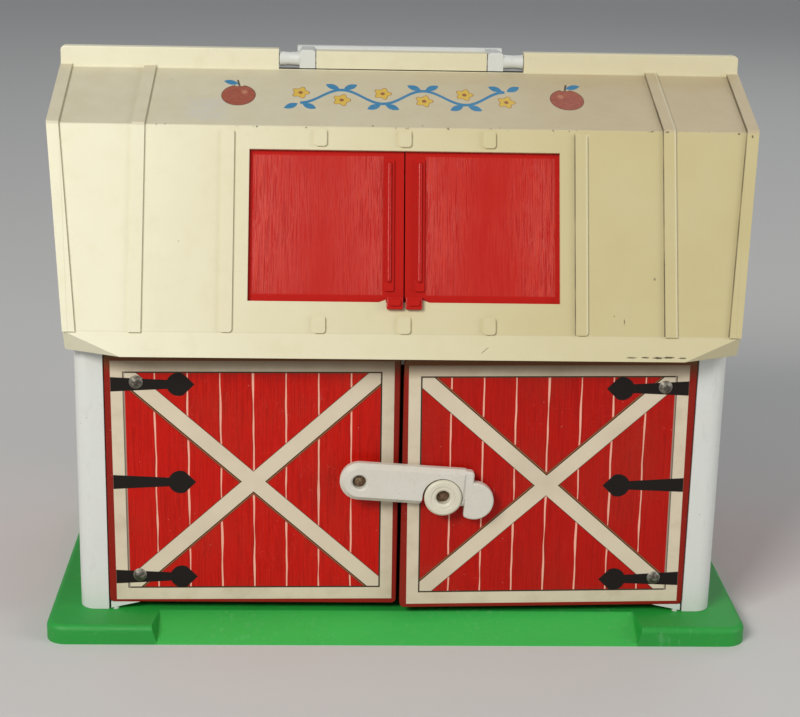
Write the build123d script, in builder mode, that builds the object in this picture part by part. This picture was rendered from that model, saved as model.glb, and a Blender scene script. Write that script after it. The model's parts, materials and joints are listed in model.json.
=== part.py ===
"""Toy barn with opening doors: a ribbed base, four moulded corner posts, hardboard walls and doors, a
gambrel roof in two mouldings, of which the front one lifts, and a pair of sliding loft doors.

Axes: X is the width, -Y the front, Z up. The origin is under the middle of the base. Lengths in millimetres.
"""

import os
from math import atan2, cos, degrees, hypot, radians, sin

from build123d import *

os.makedirs("parts", exist_ok=True)

# Clearances
running_clearance = 0.05  # pin in bore, radial
slip_clearance = 0.1  # board in groove, each side
moving_clearance = 0.6  # between pieces that pass each other

# Base
base_margin_x = 14.5  # beyond the posts, at each end
base_margin_y = 20.0  # beyond the posts, at front and back
base_height = 9.5
base_corner_radius = 10.0
base_edge_radius = 3.0
ramp_inset = 24.8  # from a post to the ramp's end
ramp_side_draft = 18.0  # degrees that the ramp's side walls lean outwards
ramp_front_height = 1.2
pocket_width = 29.0
pocket_rib = 3.4
pocket_roof = 2.6
pocket_rim = 34.0

# Walls and posts
barn_width = 312.0
barn_depth = 185.2
post_size = 14.4
post_corner_radius = 8.0
spigot_radius = 3.4
spigot_length = 5.4
board_thickness = 3.2
board_setback = 2.4  # from the outer face of a post to the face of its board
groove_depth = 6.0
screw_radius = 1.4
screw_head_radius = 2.9
screw_head_height = 1.6
screw_length = 16.0
screw_recess = 0.9

# Doors
door_bottom = 13.3
door_top = 141.0
door_gap = 1.4  # between the two doors
door_edge_gap = 0.4  # between door and post
door_thickness = 3.2
door_corner_radius = 2.4
door_edge_radius = 0.5
pivot_inset = 2.8  # from the outer edge of a door to its pivot line
pivot_radius = 1.5
pivot_reach = 5.0
right_door_ajar = 2.2  # degrees that the right door stands open at rest
door_recess = 0.4  # door face behind the front of the posts
bracket_width = 25.0
bracket_height = 20.0
bracket_plate = 2.4
bracket_web_length = 14.0
rivet_radius = 3.3
rivet_dome = 1.5
rivet_shank_radius = 1.5
rivet_tail_radius = 2.6
rivet_tail_height = 0.8
rivet_inset_x = 15.0  # from the outer edge of a door
rivet_inset_z = 14.5  # from its top and bottom edges

# Header over the doors and loft floor
header_thickness = 6.6
header_depth = 15.4
header_lip_height = 9.4
header_lip_thickness = 2.6
header_lip_inset = 2.2  # from the upper brackets to the ends of the lip
header_lip_gap = 0.3
floor_front_setback = 3.4  # in front of the posts

# Latch
latch_pivot_x = -19.8
latch_pivot_z = 80.6
latch_droop = 3.5
latch_thickness = 5.0
latch_half_height = 9.35
catch_across = 39.9  # from the latch's pivot to the middle of the catch
catch_down = 7.45
latch_past_catch = 11.6  # from the middle of the catch to the square end of the bar
latch_corner_radius = 2.6
latch_boss_radius = 6.5
latch_boss_height = 6.2
latch_recess_radius = 3.4
latch_recess_depth = 3.2
latch_edge = 2.2
latch_recess_bevel = 0.9
tab_radius = 9.4
tab_past_catch = 15.2
tab_down = 6.2
tab_thinner = 0.9
tab_shoulder = 2.6  # from the square end of the bar to the end of the tab's shoulder
tab_shoulder_drop = 0.6
tab_shoulder_radius = 2.0
tab_inner_cut = 4.6  # from the tab's middle to its straight inner edge
tab_inner_radius = 1.2
tab_edge_radius = 1.1
knob_radius = 9.1
knob_height = 7.4
knob_ring_radius = 6.0
knob_ring_step = 0.4
knob_hole_radius = 3.4
knob_hole_bevel = 0.9
knob_hole_depth = 4.6
knob_edge_radius = 1.0
latch_rivet_gap = 0.3  # round the head of the latch's rivet
notch_sweep = -45.0  # how far about the pivot the notch runs down

# Roof: a short flare over the eave, a steep lower slope, a knee, and a shallow upper slope
roof_wall = 2.0
eave_overhang = 15.4  # beyond the posts, at front and back
eave_drop = 7.8  # below the tops of the posts
flare_run = 6.0
flare_rise = 10.6
lower_slope_run = 37.0
lower_slope_rise = 90.8
upper_slope_rise = 18.3
ridge_out = 3.3  # from the ridge line to the top of the upper slope
eave_end_play = 0.4  # between the posts and the roof's end walls
knee_end_overhang = 9.8  # of the knee beyond the eave, at each end
ridge_end_overhang = 1.5  # of the ridge beyond the knee, at each end
eave_corner_width = 26.8  # of the eave's cut corner
eave_corner_back = 12.2  # how far back the eave's cut corner reaches
skirt_depth = 9.0
rim_width = 5.8
batten_height = 1.2
batten_width = 5.9
batten_outer_inset = 33.1  # from the eave's end
batten_inner_gap = 10.0  # from the loft opening
batten_end_gap = 2.2
batten_end_radius = 1.6
short_batten_x = 39.8
short_batten_inset = 1.4  # from the knee
short_batten_length = 8.2

# Ridge hinge and handle
axis_rise = 4.7  # hinge line above the top of the upper slope
strip_gap = 10.4  # between a leg of the handle and the strip beside it
strip_half_depth = 3.3
strip_top = 5.1  # above the hinge line
strip_foot_out = 1.1
strip_end_radius = 2.2
strip_edge_radius = 0.6
strip_clearance = 1.1  # between a strip and the back roof
knuckle_half_width = 42.7
knuckle_top = 4.4
knuckle_bottom = 4.2
hinge_pin_radius = 2.5
hinge_pin_engagement = 12.0
leg_width = 7.8
leg_gap = 0.5
leg_front_top = 4.9
leg_corner_radius = 1.8
arm_half_height = 3.1
grip_out = 28.0
grip_depth = 8.0
grip_height = 7.0
grip_corner_radius = 2.8
grip_overhang = 1.6
stub_radius = 3.65
stub_waist = 0.35
rest_pad_out = 11.0
rest_pad_depth = 5.0
rest_pad_gap = 0.3

# Loft doors, measured up the lower slope from the flare line
opening_half_width = 73.2
opening_bottom = 14.9
opening_top_margin = 11.2  # below the knee
loft_door_thickness = 2.4
loft_door_gap = 0.5  # between the roof's inner face and the door
loft_meeting_gap = 0.6
loft_side_overlap = 4.8
loft_edge_overlap = 3.6
track_wall = 2.8
track_lip = 2.0
track_lip_cover = 3.0
track_play = 0.4
track_end_gap = 2.5  # between a track's end and the gable board
rib_x = 7.2
rib_bottom_gap = 5.4  # above the opening's lower edge
rib_top_gap = 3.6  # below the opening's upper edge
rib_base_width = 4.6
rib_base_height = 1.0
rib_width = 2.0
rib_foot = 4.1  # of the rib's base below the rib itself
rib_head = 1.4  # of the rib's base above it
rib_height = 2.4
rib_edge_radius = 0.8
lug_gap = 1.1  # between the two lugs
lug_width = 7.8
lug_down = 3.6  # below the opening's lower edge
lug_up = 2.7
lug_thickness = 2.5
lug_corner_radius = 1.0
lug_edge_radius = 0.7
lug_bar_width = 5.3  # raised bar on the face of a lug
lug_bar_height = 3.0
lug_bar_radius = 0.9
lug_bar_thickness = 0.9
bump_height = 1.2
bump_length = 3.2
bump_play = 0.3

# Wall edges in the back roof
channel_rib = 2.2
channel_depth = 4.0
front_roof_play = 0.6  # between the front roof and the walls under it
gable_peak_drop = 7.6  # flat top of the gable boards below the hinge line

# Places that follow from the sizes above
half_barn = barn_width / 2
half_depth = barn_depth / 2
post_inner_x = half_barn - post_size
post_inner_y = half_depth - post_size
gable_outer_x = half_barn - board_setback
gable_inner_x = gable_outer_x - board_thickness
back_outer_y = half_depth - board_setback
back_inner_y = back_outer_y - board_thickness
door_outer_x = post_inner_x - door_edge_gap
door_face_y = half_depth - door_recess
pivot_x = door_outer_x - pivot_inset
pivot_y = door_face_y - door_thickness / 2
door_length = door_outer_x - door_gap / 2
hinge_space = door_bottom - base_height
bracket_web_drop = hinge_space - moving_clearance
header_bottom = door_top + hinge_space
header_top = header_bottom + header_thickness
post_top = header_top
base_width = barn_width + 2 * base_margin_x
base_depth = barn_depth + 2 * base_margin_y
ramp_width = 2 * (post_inner_x - ramp_inset)
ramp_back = half_depth + moving_clearance
ramp_run = base_depth / 2 - ramp_back
ramp_fall = base_height - ramp_front_height
ramp_length = hypot(ramp_run, ramp_fall)
header_lip_width = 2 * (pivot_x + pivot_inset - moving_clearance - bracket_width - header_lip_inset)
eave_out = half_depth + eave_overhang
flare_out = eave_out - flare_run
knee_out = flare_out - lower_slope_run
eave_height = post_top - eave_drop
flare_height = eave_height + flare_rise
knee_height = flare_height + lower_slope_rise
ridge_height = knee_height + upper_slope_rise
axis_height = ridge_height + axis_rise
eave_half_width = half_barn + eave_end_play + roof_wall
knee_half_width = eave_half_width + knee_end_overhang
ridge_half_width = knee_half_width + ridge_end_overhang
eave_straight_half = eave_half_width - eave_corner_width
slope_length = hypot(lower_slope_run, lower_slope_rise)
lower_tilt = atan2(lower_slope_run, lower_slope_rise)
upper_tilt = atan2(upper_slope_rise, knee_out - ridge_out)
opening_top = slope_length - opening_top_margin
batten_outer_x = eave_half_width - batten_outer_inset
batten_inner_x = opening_half_width + batten_inner_gap
short_batten_top = slope_length - short_batten_inset
leg_inner_x = knuckle_half_width + leg_gap
leg_outer_x = leg_inner_x + leg_width
strip_inner_x = leg_outer_x + strip_gap
back_edge_out = strip_half_depth + strip_clearance
track_half_length = gable_inner_x - track_end_gap
rib_bottom = opening_bottom + rib_bottom_gap
rib_top = opening_top - rib_top_gap
lug_bottom = opening_bottom - lug_down
lug_top = opening_bottom + lug_up
knob_x = latch_pivot_x + catch_across
knob_z = latch_pivot_z - catch_down
catch_distance = hypot(catch_across, catch_down)
catch_angle = latch_droop - degrees(atan2(catch_down, catch_across))
latch_reach = catch_distance + latch_past_catch
tab_out = catch_distance + tab_past_catch


def finish_piece(builder, name):
    """Label a finished piece and write its STEP file."""
    builder.part.label = name
    export_step(builder.part, f"parts/{name}.step")


# Base: a flat moulding with a pocketed underside, and a ramp between the two front corner blocks
pocket_pitch = pocket_width + pocket_rib
pocket_columns = int((base_width - 2 * pocket_rim + pocket_rib) // pocket_pitch)
pocket_rows = int((2 * post_inner_y + pocket_rib) // pocket_pitch)
ramp_top = (0, -ramp_back, base_height)
ramp_plane = Plane(origin=ramp_top, x_dir=(1, 0, 0), z_dir=(0, -ramp_fall, ramp_run))

with BuildPart() as base_plate:
    with BuildSketch():
        RectangleRounded(base_width, base_depth, base_corner_radius)
    extrude(amount=base_height)
    fillet(base_plate.faces().sort_by(Axis.Z)[-1].edges(), base_edge_radius)
    with BuildSketch(ramp_plane):
        Rectangle(ramp_width, 2 * ramp_length, align=(Align.CENTER, Align.MAX))
    extrude(amount=2 * base_height, taper=-ramp_side_draft, mode=Mode.SUBTRACT)
    with BuildSketch():
        with GridLocations(pocket_pitch, pocket_pitch, pocket_columns, pocket_rows):
            Rectangle(pocket_width, pocket_width)
    extrude(amount=base_height - pocket_roof, mode=Mode.SUBTRACT)
    with BuildSketch(Plane.XY.offset(base_height)):
        with GridLocations(barn_width - post_size, barn_depth - post_size, 2, 2):
            Circle(spigot_radius + slip_clearance)
    extrude(amount=-spigot_length, mode=Mode.SUBTRACT)
    with BuildSketch():
        with GridLocations(barn_width - post_size, barn_depth - post_size, 2, 2):
            Circle(screw_radius + slip_clearance)
    extrude(amount=base_height, mode=Mode.SUBTRACT)
    with BuildSketch():
        with GridLocations(barn_width - post_size, barn_depth - post_size, 2, 2):
            Circle(screw_head_radius + slip_clearance)
    extrude(amount=screw_recess + screw_head_height, mode=Mode.SUBTRACT)
    with BuildSketch(Plane.XY.offset(base_height)):
        with Locations((-pivot_x, -pivot_y), (pivot_x, -pivot_y)):
            Circle(pivot_radius + running_clearance)
    extrude(amount=-pivot_reach - slip_clearance, mode=Mode.SUBTRACT)
finish_piece(base_plate, "base_plate")

# Screws from under the base up into the posts' spigots
with BuildPart() as base_screws:
    with BuildSketch(Plane.XY.offset(screw_recess)):
        with GridLocations(barn_width - post_size, barn_depth - post_size, 2, 2):
            Circle(screw_head_radius)
    extrude(amount=screw_head_height)
    with BuildSketch(Plane.XY.offset(screw_recess + screw_head_height)):
        with GridLocations(barn_width - post_size, barn_depth - post_size, 2, 2):
            Circle(screw_radius)
    extrude(amount=screw_length)
finish_piece(base_screws, "base_screws")


def corner_post(side_x, side_y):
    """A white corner post with a rounded outer corner, grooves for the boards and a spigot for the base."""
    centre_x = side_x * (half_barn - post_size / 2)
    centre_y = side_y * (half_depth - post_size / 2)
    gable_x = side_x * (gable_inner_x + board_thickness / 2)
    groove_width = board_thickness + 2 * slip_clearance
    with BuildPart() as post:
        with BuildSketch(Plane.XY.offset(base_height)):
            with Locations((centre_x, centre_y)):
                Rectangle(post_size, post_size)
            far_outside = (side_x * base_width, side_y * base_width, base_height)
            outer_corner = vertices().sort_by_distance(far_outside)[0]
            fillet(outer_corner, post_corner_radius)
        extrude(amount=post_top - base_height)
        with BuildSketch(Plane.XY.offset(base_height)):
            with Locations((gable_x, side_y * (post_inner_y + groove_depth / 2))):
                Rectangle(groove_width, groove_depth)
            if side_y > 0:
                back_x = side_x * (post_inner_x + groove_depth / 2)
                with Locations((back_x, back_inner_y + board_thickness / 2)):
                    Rectangle(groove_depth, groove_width)
        extrude(amount=post_top - base_height, mode=Mode.SUBTRACT)
        with BuildSketch(Plane.XY.offset(base_height)):
            with Locations((centre_x, centre_y)):
                Circle(spigot_radius)
        extrude(amount=-spigot_length + slip_clearance)
        with BuildSketch(Plane.XY.offset(base_height - spigot_length)):
            with Locations((centre_x, centre_y)):
                Circle(screw_radius)
        extrude(amount=screw_length, mode=Mode.SUBTRACT)
    return post


for side_y, row in ((-1, "front"), (1, "rear")):
    for side_x, hand in ((-1, "left"), (1, "right")):
        finish_piece(corner_post(side_x, side_y), f"{row}_{hand}_post")


def section_lines(inset):
    """Flare, lower slope and upper slope, moved inwards: each as the normal (out, up) and its distance."""
    flare_tilt = atan2(eave_out - flare_out, flare_height - eave_height)
    faces = (
        (flare_out, flare_height, flare_tilt),
        (flare_out, flare_height, lower_tilt),
        (knee_out, knee_height, radians(90) - upper_tilt),
    )
    return [
        (cos(tilt), sin(tilt), cos(tilt) * out + sin(tilt) * height - inset)
        for out, height, tilt in faces
    ]


def crossing(first, second):
    """Where two lines of the section cross, as (out, height)."""
    a, b, c = first
    d, e, f = second
    return ((c * e - b * f) / (a * e - b * d), (a * f - c * d) / (a * e - b * d))


def out_at(line, height):
    return (line[2] - line[1] * height) / line[0]


def height_at(line, out):
    return (line[2] - line[0] * out) / line[1]


def section_plane(side_y):
    """The plane of the roof's section: its x points outwards from the ridge, its y up."""
    return Plane(origin=(0, 0, 0), x_dir=(0, side_y, 0), z_dir=(side_y, 0, 0))


def lower_slope_plane(side_y, depth=0.0):
    """The lower slope's outer face: origin on the flare line, y up the slope; depth is how far inside."""
    normal = Vector(0, side_y * cos(lower_tilt), sin(lower_tilt))
    origin = Vector(0, side_y * flare_out, flare_height) - normal * depth
    return Plane(origin=origin, x_dir=(-side_y, 0, 0), z_dir=normal)


def hip_plane(side_x, side_y, inset):
    """The cut corner of the eave, moved inwards by an inset."""
    front = Vector(side_x * eave_straight_half, side_y * eave_out, eave_height)
    side = Vector(side_x * eave_half_width, side_y * (eave_out - eave_corner_back), eave_height)
    upper = Vector(side_x * eave_half_width, side_y * flare_out, flare_height)
    normal = (side - front).cross(upper - front).normalized()
    if normal.dot(Vector(side_x, side_y, 0)) < 0:
        normal = -normal
    return Plane(origin=front - normal * inset, z_dir=normal)


def roof_block(side_y, inset, end_inset, bottom, inner_out):
    """The space under one half of the roof, filled, with its faces and ends moved inwards."""
    flare, lower, upper = section_lines(inset)
    top = axis_height + knee_height
    with BuildPart() as block:
        with BuildSketch(section_plane(side_y)):
            with BuildLine():
                Polyline(
                    (out_at(flare, bottom), bottom),
                    crossing(flare, lower),
                    crossing(lower, upper),
                    (inner_out, height_at(upper, inner_out)),
                    (inner_out, bottom),
                    close=True,
                )
            make_face()
        extrude(amount=base_width, both=True)
        with BuildSketch(Plane.XZ):
            with BuildLine():
                Polyline(
                    (eave_half_width - end_inset, 0),
                    (eave_half_width - end_inset, flare_height),
                    (knee_half_width - end_inset, knee_height),
                    (ridge_half_width - end_inset, ridge_height),
                    (ridge_half_width - end_inset, top),
                    (end_inset - ridge_half_width, top),
                    (end_inset - ridge_half_width, ridge_height),
                    (end_inset - knee_half_width, knee_height),
                    (end_inset - eave_half_width, flare_height),
                    (end_inset - eave_half_width, 0),
                    close=True,
                )
            make_face()
        extrude(amount=base_depth, both=True, mode=Mode.INTERSECT)
        for side_x in (-1, 1):
            split(bisect_by=hip_plane(side_x, side_y, inset), keep=Keep.BOTTOM)
    return block.part


def slabs(centres, width):
    """Full-height slices of the barn at each centre along its width."""
    with BuildPart() as slices:
        with BuildSketch():
            with Locations([(x, 0) for x in centres]):
                Rectangle(width, 2 * base_depth)
        extrude(amount=2 * axis_height)
    return slices.part


outer_battens = slabs((-batten_outer_x, batten_outer_x), batten_width)


def roof_half(side_y, inner_out, lower_battens):
    """One half of the roof: shell, end skirts, raised end rims, long battens and lower-slope battens."""
    below = eave_height - roof_wall
    past = inner_out - 2 * roof_wall
    inner = roof_block(side_y, roof_wall, roof_wall, below, past)
    through = roof_block(side_y, skirt_depth, -roof_wall, below, past)
    with BuildPart() as field:
        add(roof_block(side_y, -2 * batten_height, rim_width, flare_height - batten_height, past))
        add(outer_battens, mode=Mode.SUBTRACT)
    with BuildPart() as raised:
        add(roof_block(side_y, -batten_height, 0, flare_height, inner_out))
        add(field.part, mode=Mode.SUBTRACT)
    with BuildPart() as roof:
        add(roof_block(side_y, 0, 0, eave_height, inner_out))
        add(raised.part)
        for x, low, high in lower_battens:
            with BuildSketch(lower_slope_plane(side_y)):
                with Locations((x, (low + high) / 2)):
                    RectangleRounded(batten_width, high - low, batten_end_radius)
            extrude(amount=batten_height)
        add(inner, mode=Mode.SUBTRACT)
        add(through, mode=Mode.SUBTRACT)
    return roof.part


# Front roof: the half that lifts, with the loft opening and the two outer hinge strips
inner_batten = (0.0, slope_length - batten_end_gap)
short_low = (0.0, short_batten_length)
short_high = (short_batten_top - short_batten_length, short_batten_top)
front_battens = [(x, *inner_batten) for x in (-batten_inner_x, batten_inner_x)]
for x in (-short_batten_x, 0, short_batten_x):
    front_battens += [(x, *short_low), (x, *short_high)]

with BuildPart() as front_roof:
    add(roof_half(-1, ridge_out, front_battens))
    with BuildSketch(lower_slope_plane(-1)):
        with Locations((0, (opening_bottom + opening_top) / 2)):
            Rectangle(2 * opening_half_width, opening_top - opening_bottom)
    extrude(amount=2 * roof_wall, both=True, mode=Mode.SUBTRACT)
    for side_x in (-1, 1):
        with BuildSketch(lower_slope_plane(-1, roof_wall)):
            bump_start = lug_gap / 2 + lug_width + bump_play
            with BuildLine():
                Polyline(
                    (side_x * bump_start, opening_bottom - bump_height),
                    (side_x * bump_start, opening_bottom + bump_height),
                    (side_x * (bump_start + bump_length), opening_bottom),
                    (side_x * (bump_start + bump_length), opening_bottom - bump_height),
                    close=True,
                )
            make_face()
        extrude(amount=roof_wall)
    for side_x in (-1, 1):
        with BuildSketch(Plane.YZ.offset(side_x * strip_inner_x)):
            with BuildLine():
                Polyline(
                    (-ridge_out, axis_height + strip_top),
                    (strip_half_depth, axis_height + strip_top),
                    (strip_half_depth, axis_height - ridge_out),
                    (strip_foot_out, axis_height - strip_top),
                    (-ridge_out, ridge_height - roof_wall),
                    close=True,
                )
            make_face()
        extrude(amount=side_x * (ridge_half_width - strip_inner_x))
        with BuildSketch(Plane.YZ.offset(side_x * strip_inner_x)):
            with Locations((0, axis_height)):
                Circle(hinge_pin_radius + running_clearance)
        extrude(amount=side_x * (hinge_pin_engagement + leg_gap), mode=Mode.SUBTRACT)
    strip_corners = front_roof.edges().filter_by(Axis.Y).group_by(Axis.Z)[-1].sort_by(Axis.X)
    fillet([strip_corners[0], strip_corners[-1]], strip_end_radius)
    fillet(front_roof.edges().filter_by(Axis.X).group_by(Axis.Z)[-1], strip_edge_radius)
finish_piece(front_roof, "front_roof")

# Back roof: the fixed half, with the middle hinge knuckle, the pads under the folded handle, and ribs that
# hold the gable boards' edges
back_battens = [
    (x, *inner_batten)
    for x in (-batten_inner_x, -short_batten_x, 0, short_batten_x, batten_inner_x)
]
back_upper = section_lines(0)[2]

with BuildPart() as channel_ribs:
    add(roof_block(1, roof_wall / 2, roof_wall, flare_height, back_edge_out))
    add(roof_block(1, roof_wall + channel_depth, -roof_wall, eave_height, 0), mode=Mode.SUBTRACT)
    rib_places = [
        side_x * x
        for side_x in (-1, 1)
        for x in (gable_inner_x - channel_rib / 2, gable_outer_x + channel_rib / 2)
    ]
    add(slabs(rib_places, channel_rib), mode=Mode.INTERSECT)

with BuildPart() as back_roof:
    add(roof_half(1, back_edge_out, back_battens))
    add(channel_ribs.part)
    with BuildSketch(Plane.YZ):
        with BuildLine():
            Polyline(
                (-ridge_out, axis_height + knuckle_top),
                (back_edge_out, axis_height + knuckle_top),
                (back_edge_out, height_at(back_upper, back_edge_out)),
                (back_edge_out + roof_wall, height_at(back_upper, back_edge_out + roof_wall)),
                (back_edge_out, height_at(section_lines(roof_wall)[2], back_edge_out)),
                (-ridge_out, axis_height - knuckle_bottom),
                close=True,
            )
        make_face()
    extrude(amount=knuckle_half_width, both=True)
    for side_x in (-1, 1):
        with BuildSketch(Plane.YZ.offset(side_x * knuckle_half_width)):
            with Locations((0, axis_height)):
                Circle(hinge_pin_radius + running_clearance)
        extrude(amount=-side_x * (hinge_pin_engagement + leg_gap), mode=Mode.SUBTRACT)
        with BuildSketch(Plane.YZ.offset(side_x * leg_inner_x)):
            with BuildLine():
                Polyline(
                    (rest_pad_out, height_at(back_upper, rest_pad_out) - roof_wall / 2),
                    (rest_pad_out, axis_height - arm_half_height - rest_pad_gap),
                    (rest_pad_out + rest_pad_depth, axis_height - arm_half_height - rest_pad_gap),
                    (
                        rest_pad_out + rest_pad_depth,
                        height_at(back_upper, rest_pad_out + rest_pad_depth) - roof_wall / 2,
                    ),
                    close=True,
                )
            make_face()
        extrude(amount=side_x * leg_width)
finish_piece(back_roof, "back_roof")

# Gable boards: each stands in the grooves of two posts and carries the roof on its gambrel edge
front_lines = section_lines(roof_wall + front_roof_play)
back_lines = section_lines(roof_wall)
board_reach = post_inner_y + groove_depth
peak_height = axis_height - gable_peak_drop


def gable_edge(lines, side_y):
    """The gambrel edge on one side, from the post's top to the flat peak."""
    flare_point = crossing(lines[0], lines[1])
    return [
        (side_y * board_reach, base_height),
        (side_y * board_reach, post_top),
        (side_y * flare_point[0], post_top),
        (side_y * flare_point[0], flare_point[1]),
        (side_y * crossing(lines[1], lines[2])[0], crossing(lines[1], lines[2])[1]),
        (side_y * out_at(lines[2], peak_height), peak_height),
    ]


for side_x, hand in ((-1, "left"), (1, "right")):
    with BuildPart() as gable_board:
        with BuildSketch(Plane.YZ.offset(side_x * gable_inner_x)):
            with BuildLine():
                Polyline(*gable_edge(front_lines, -1), *reversed(gable_edge(back_lines, 1)), close=True)
            make_face()
        extrude(amount=side_x * board_thickness)
    finish_piece(gable_board, f"{hand}_gable_board")

# Back board, between the rear posts and up to the underside of the roof
with BuildPart() as back_board:
    back_board_top = height_at(back_lines[1], back_outer_y)
    with BuildSketch(Plane.XZ.offset(-back_inner_y)):
        with Locations((0, (base_height + back_board_top) / 2)):
            Rectangle(2 * (post_inner_x + groove_depth), back_board_top - base_height)
    extrude(amount=-board_thickness)
finish_piece(back_board, "back_board")

# Header between the front posts: holds the doors' upper pivots and the edge of the loft floor
with BuildPart() as front_header:
    header_front = half_depth + floor_front_setback - moving_clearance
    with BuildSketch(Plane.XY.offset(header_bottom)):
        with Locations((0, -header_front + header_depth / 2)):
            Rectangle(2 * post_inner_x, header_depth)
    extrude(amount=header_thickness)
    with BuildSketch(Plane.XY.offset(header_bottom)):
        with Locations((0, -door_face_y + door_thickness + header_lip_gap + header_lip_thickness / 2)):
            Rectangle(header_lip_width, header_lip_thickness)
    extrude(amount=-header_lip_height)
    with BuildSketch(Plane.XY.offset(header_bottom)):
        with Locations((-pivot_x, -pivot_y), (pivot_x, -pivot_y)):
            Circle(pivot_radius + running_clearance)
    extrude(amount=pivot_reach + slip_clearance, mode=Mode.SUBTRACT)
finish_piece(front_header, "front_header")

# Loft floor, on the posts and the header
with BuildPart() as loft_floor:
    floor_front = half_depth + floor_front_setback
    with BuildSketch(Plane.XY.offset(post_top)):
        with Locations((0, (back_inner_y - floor_front) / 2)):
            Rectangle(2 * (gable_inner_x - slip_clearance), back_inner_y + floor_front)
    extrude(amount=board_thickness)
finish_piece(loft_floor, "loft_floor")

# Loft door tracks, fixed inside the front roof above and below the opening
loft_front = roof_wall + loft_door_gap  # depth of the doors' front face inside the slope's outer face
loft_back = loft_front + loft_door_thickness
loft_low = opening_bottom - loft_edge_overlap
loft_high = opening_top + loft_edge_overlap
for name, edge, away in (("lower", loft_low, -1), ("upper", loft_high, 1)):
    with BuildPart() as track:
        wall_start = edge + away * track_play
        wall_end = wall_start + away * track_wall
        lip_end = edge - away * track_lip_cover
        lip_depth = loft_back + track_play
        with BuildSketch(lower_slope_plane(-1, roof_wall)):
            with Locations((0, (wall_start + wall_end) / 2)):
                Rectangle(2 * track_half_length, track_wall)
        extrude(amount=roof_wall - lip_depth - track_lip)
        with BuildSketch(lower_slope_plane(-1, lip_depth)):
            with Locations((0, (wall_end + lip_end) / 2)):
                Rectangle(2 * track_half_length, abs(wall_end - lip_end))
        extrude(amount=-track_lip)
    finish_piece(track, f"{name}_loft_track")


def loft_door(side_x):
    """A sliding loft door: panel, finger rib, and a lug that laps over the sill of the opening."""
    inner_x = loft_meeting_gap / 2
    outer_x = opening_half_width + loft_side_overlap
    lug_x = side_x * (lug_gap + lug_width) / 2
    outwards = Axis((0, 0, 0), lower_slope_plane(-1).z_dir)
    with BuildPart() as door:
        with BuildSketch(lower_slope_plane(-1, loft_back)):
            with Locations((side_x * (inner_x + outer_x) / 2, (loft_low + loft_high) / 2)):
                Rectangle(outer_x - inner_x, loft_high - loft_low)
        extrude(amount=loft_door_thickness)
        with BuildSketch(lower_slope_plane(-1, loft_front)):
            with Locations((side_x * rib_x, (rib_bottom + rib_top) / 2)):
                RectangleRounded(rib_base_width, rib_top - rib_bottom, rib_width / 2)
        extrude(amount=rib_base_height)
        with BuildSketch(lower_slope_plane(-1, loft_front)):
            with Locations((side_x * rib_x, (rib_bottom + rib_foot + rib_top - rib_head) / 2)):
                SlotOverall(rib_top - rib_head - rib_bottom - rib_foot, rib_width, rotation=90)
        extrude(amount=rib_height)
        fillet(door.faces().sort_by(outwards)[-1].edges(), rib_edge_radius)
        neck_bottom = opening_bottom + bump_height + bump_play
        with BuildSketch(lower_slope_plane(-1, loft_front)):
            with Locations((lug_x, (neck_bottom + lug_top) / 2)):
                Rectangle(lug_width, lug_top - neck_bottom)
        extrude(amount=loft_front + bump_play)
        with BuildSketch(lower_slope_plane(-1, -bump_play)):
            with Locations((lug_x, (lug_bottom + lug_top) / 2)):
                RectangleRounded(lug_width, lug_top - lug_bottom, lug_corner_radius)
        extrude(amount=lug_thickness)
        fillet(door.faces().sort_by(outwards)[-1].edges(), lug_edge_radius)
        with BuildSketch(lower_slope_plane(-1, -bump_play - lug_thickness)):
            with Locations((lug_x, (lug_bottom + lug_top) / 2)):
                RectangleRounded(lug_bar_width, lug_bar_height, lug_bar_radius)
        extrude(amount=lug_bar_thickness)
    return door


for side_x, hand in ((-1, "left"), (1, "right")):
    finish_piece(loft_door(side_x), f"{hand}_loft_door")

# Handle: two legs and a grip, with stubs that are also the roof's hinge pins
with BuildPart() as handle:
    for side_x in (-1, 1):
        with BuildSketch(Plane.YZ.offset(side_x * leg_inner_x)):
            with BuildLine():
                Polyline(
                    (-ridge_out, axis_height - knuckle_bottom),
                    (-ridge_out, axis_height + leg_front_top),
                    (ridge_out, axis_height + leg_front_top),
                    (grip_out, axis_height + arm_half_height),
                    (grip_out, axis_height - arm_half_height),
                    (ridge_out, axis_height - arm_half_height),
                    (0, axis_height - knuckle_bottom),
                    close=True,
                )
            make_face()
        extrude(amount=side_x * leg_width)
    leg_tops = handle.faces().filter_by(Axis.Z).group_by(Axis.Z)[-1]
    fillet(leg_tops.edges().filter_by(Axis.Y), leg_corner_radius)
    for side_x in (-1, 1):
        with BuildSketch(Plane.XY.offset(axis_height)):
            with BuildLine():
                Polyline(
                    (side_x * leg_outer_x, 0),
                    (side_x * leg_outer_x, stub_radius),
                    (side_x * (leg_outer_x + strip_inner_x) / 2, stub_radius - stub_waist),
                    (side_x * (strip_inner_x - leg_gap), stub_radius),
                    (side_x * (strip_inner_x - leg_gap), hinge_pin_radius),
                    (side_x * (strip_inner_x + hinge_pin_engagement), hinge_pin_radius),
                    (side_x * (strip_inner_x + hinge_pin_engagement), 0),
                    close=True,
                )
            make_face()
        revolve(axis=Axis((0, 0, axis_height), (1, 0, 0)))
        with BuildSketch(Plane.YZ.offset(side_x * leg_inner_x)):
            with Locations((0, axis_height)):
                Circle(hinge_pin_radius)
        extrude(amount=-side_x * (hinge_pin_engagement + leg_gap / 2))
    with BuildSketch(Plane.YZ):
        with Locations((grip_out, axis_height)):
            RectangleRounded(grip_depth, grip_height, grip_corner_radius)
    extrude(amount=leg_outer_x + grip_overhang, both=True)
finish_piece(handle, "handle")


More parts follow.
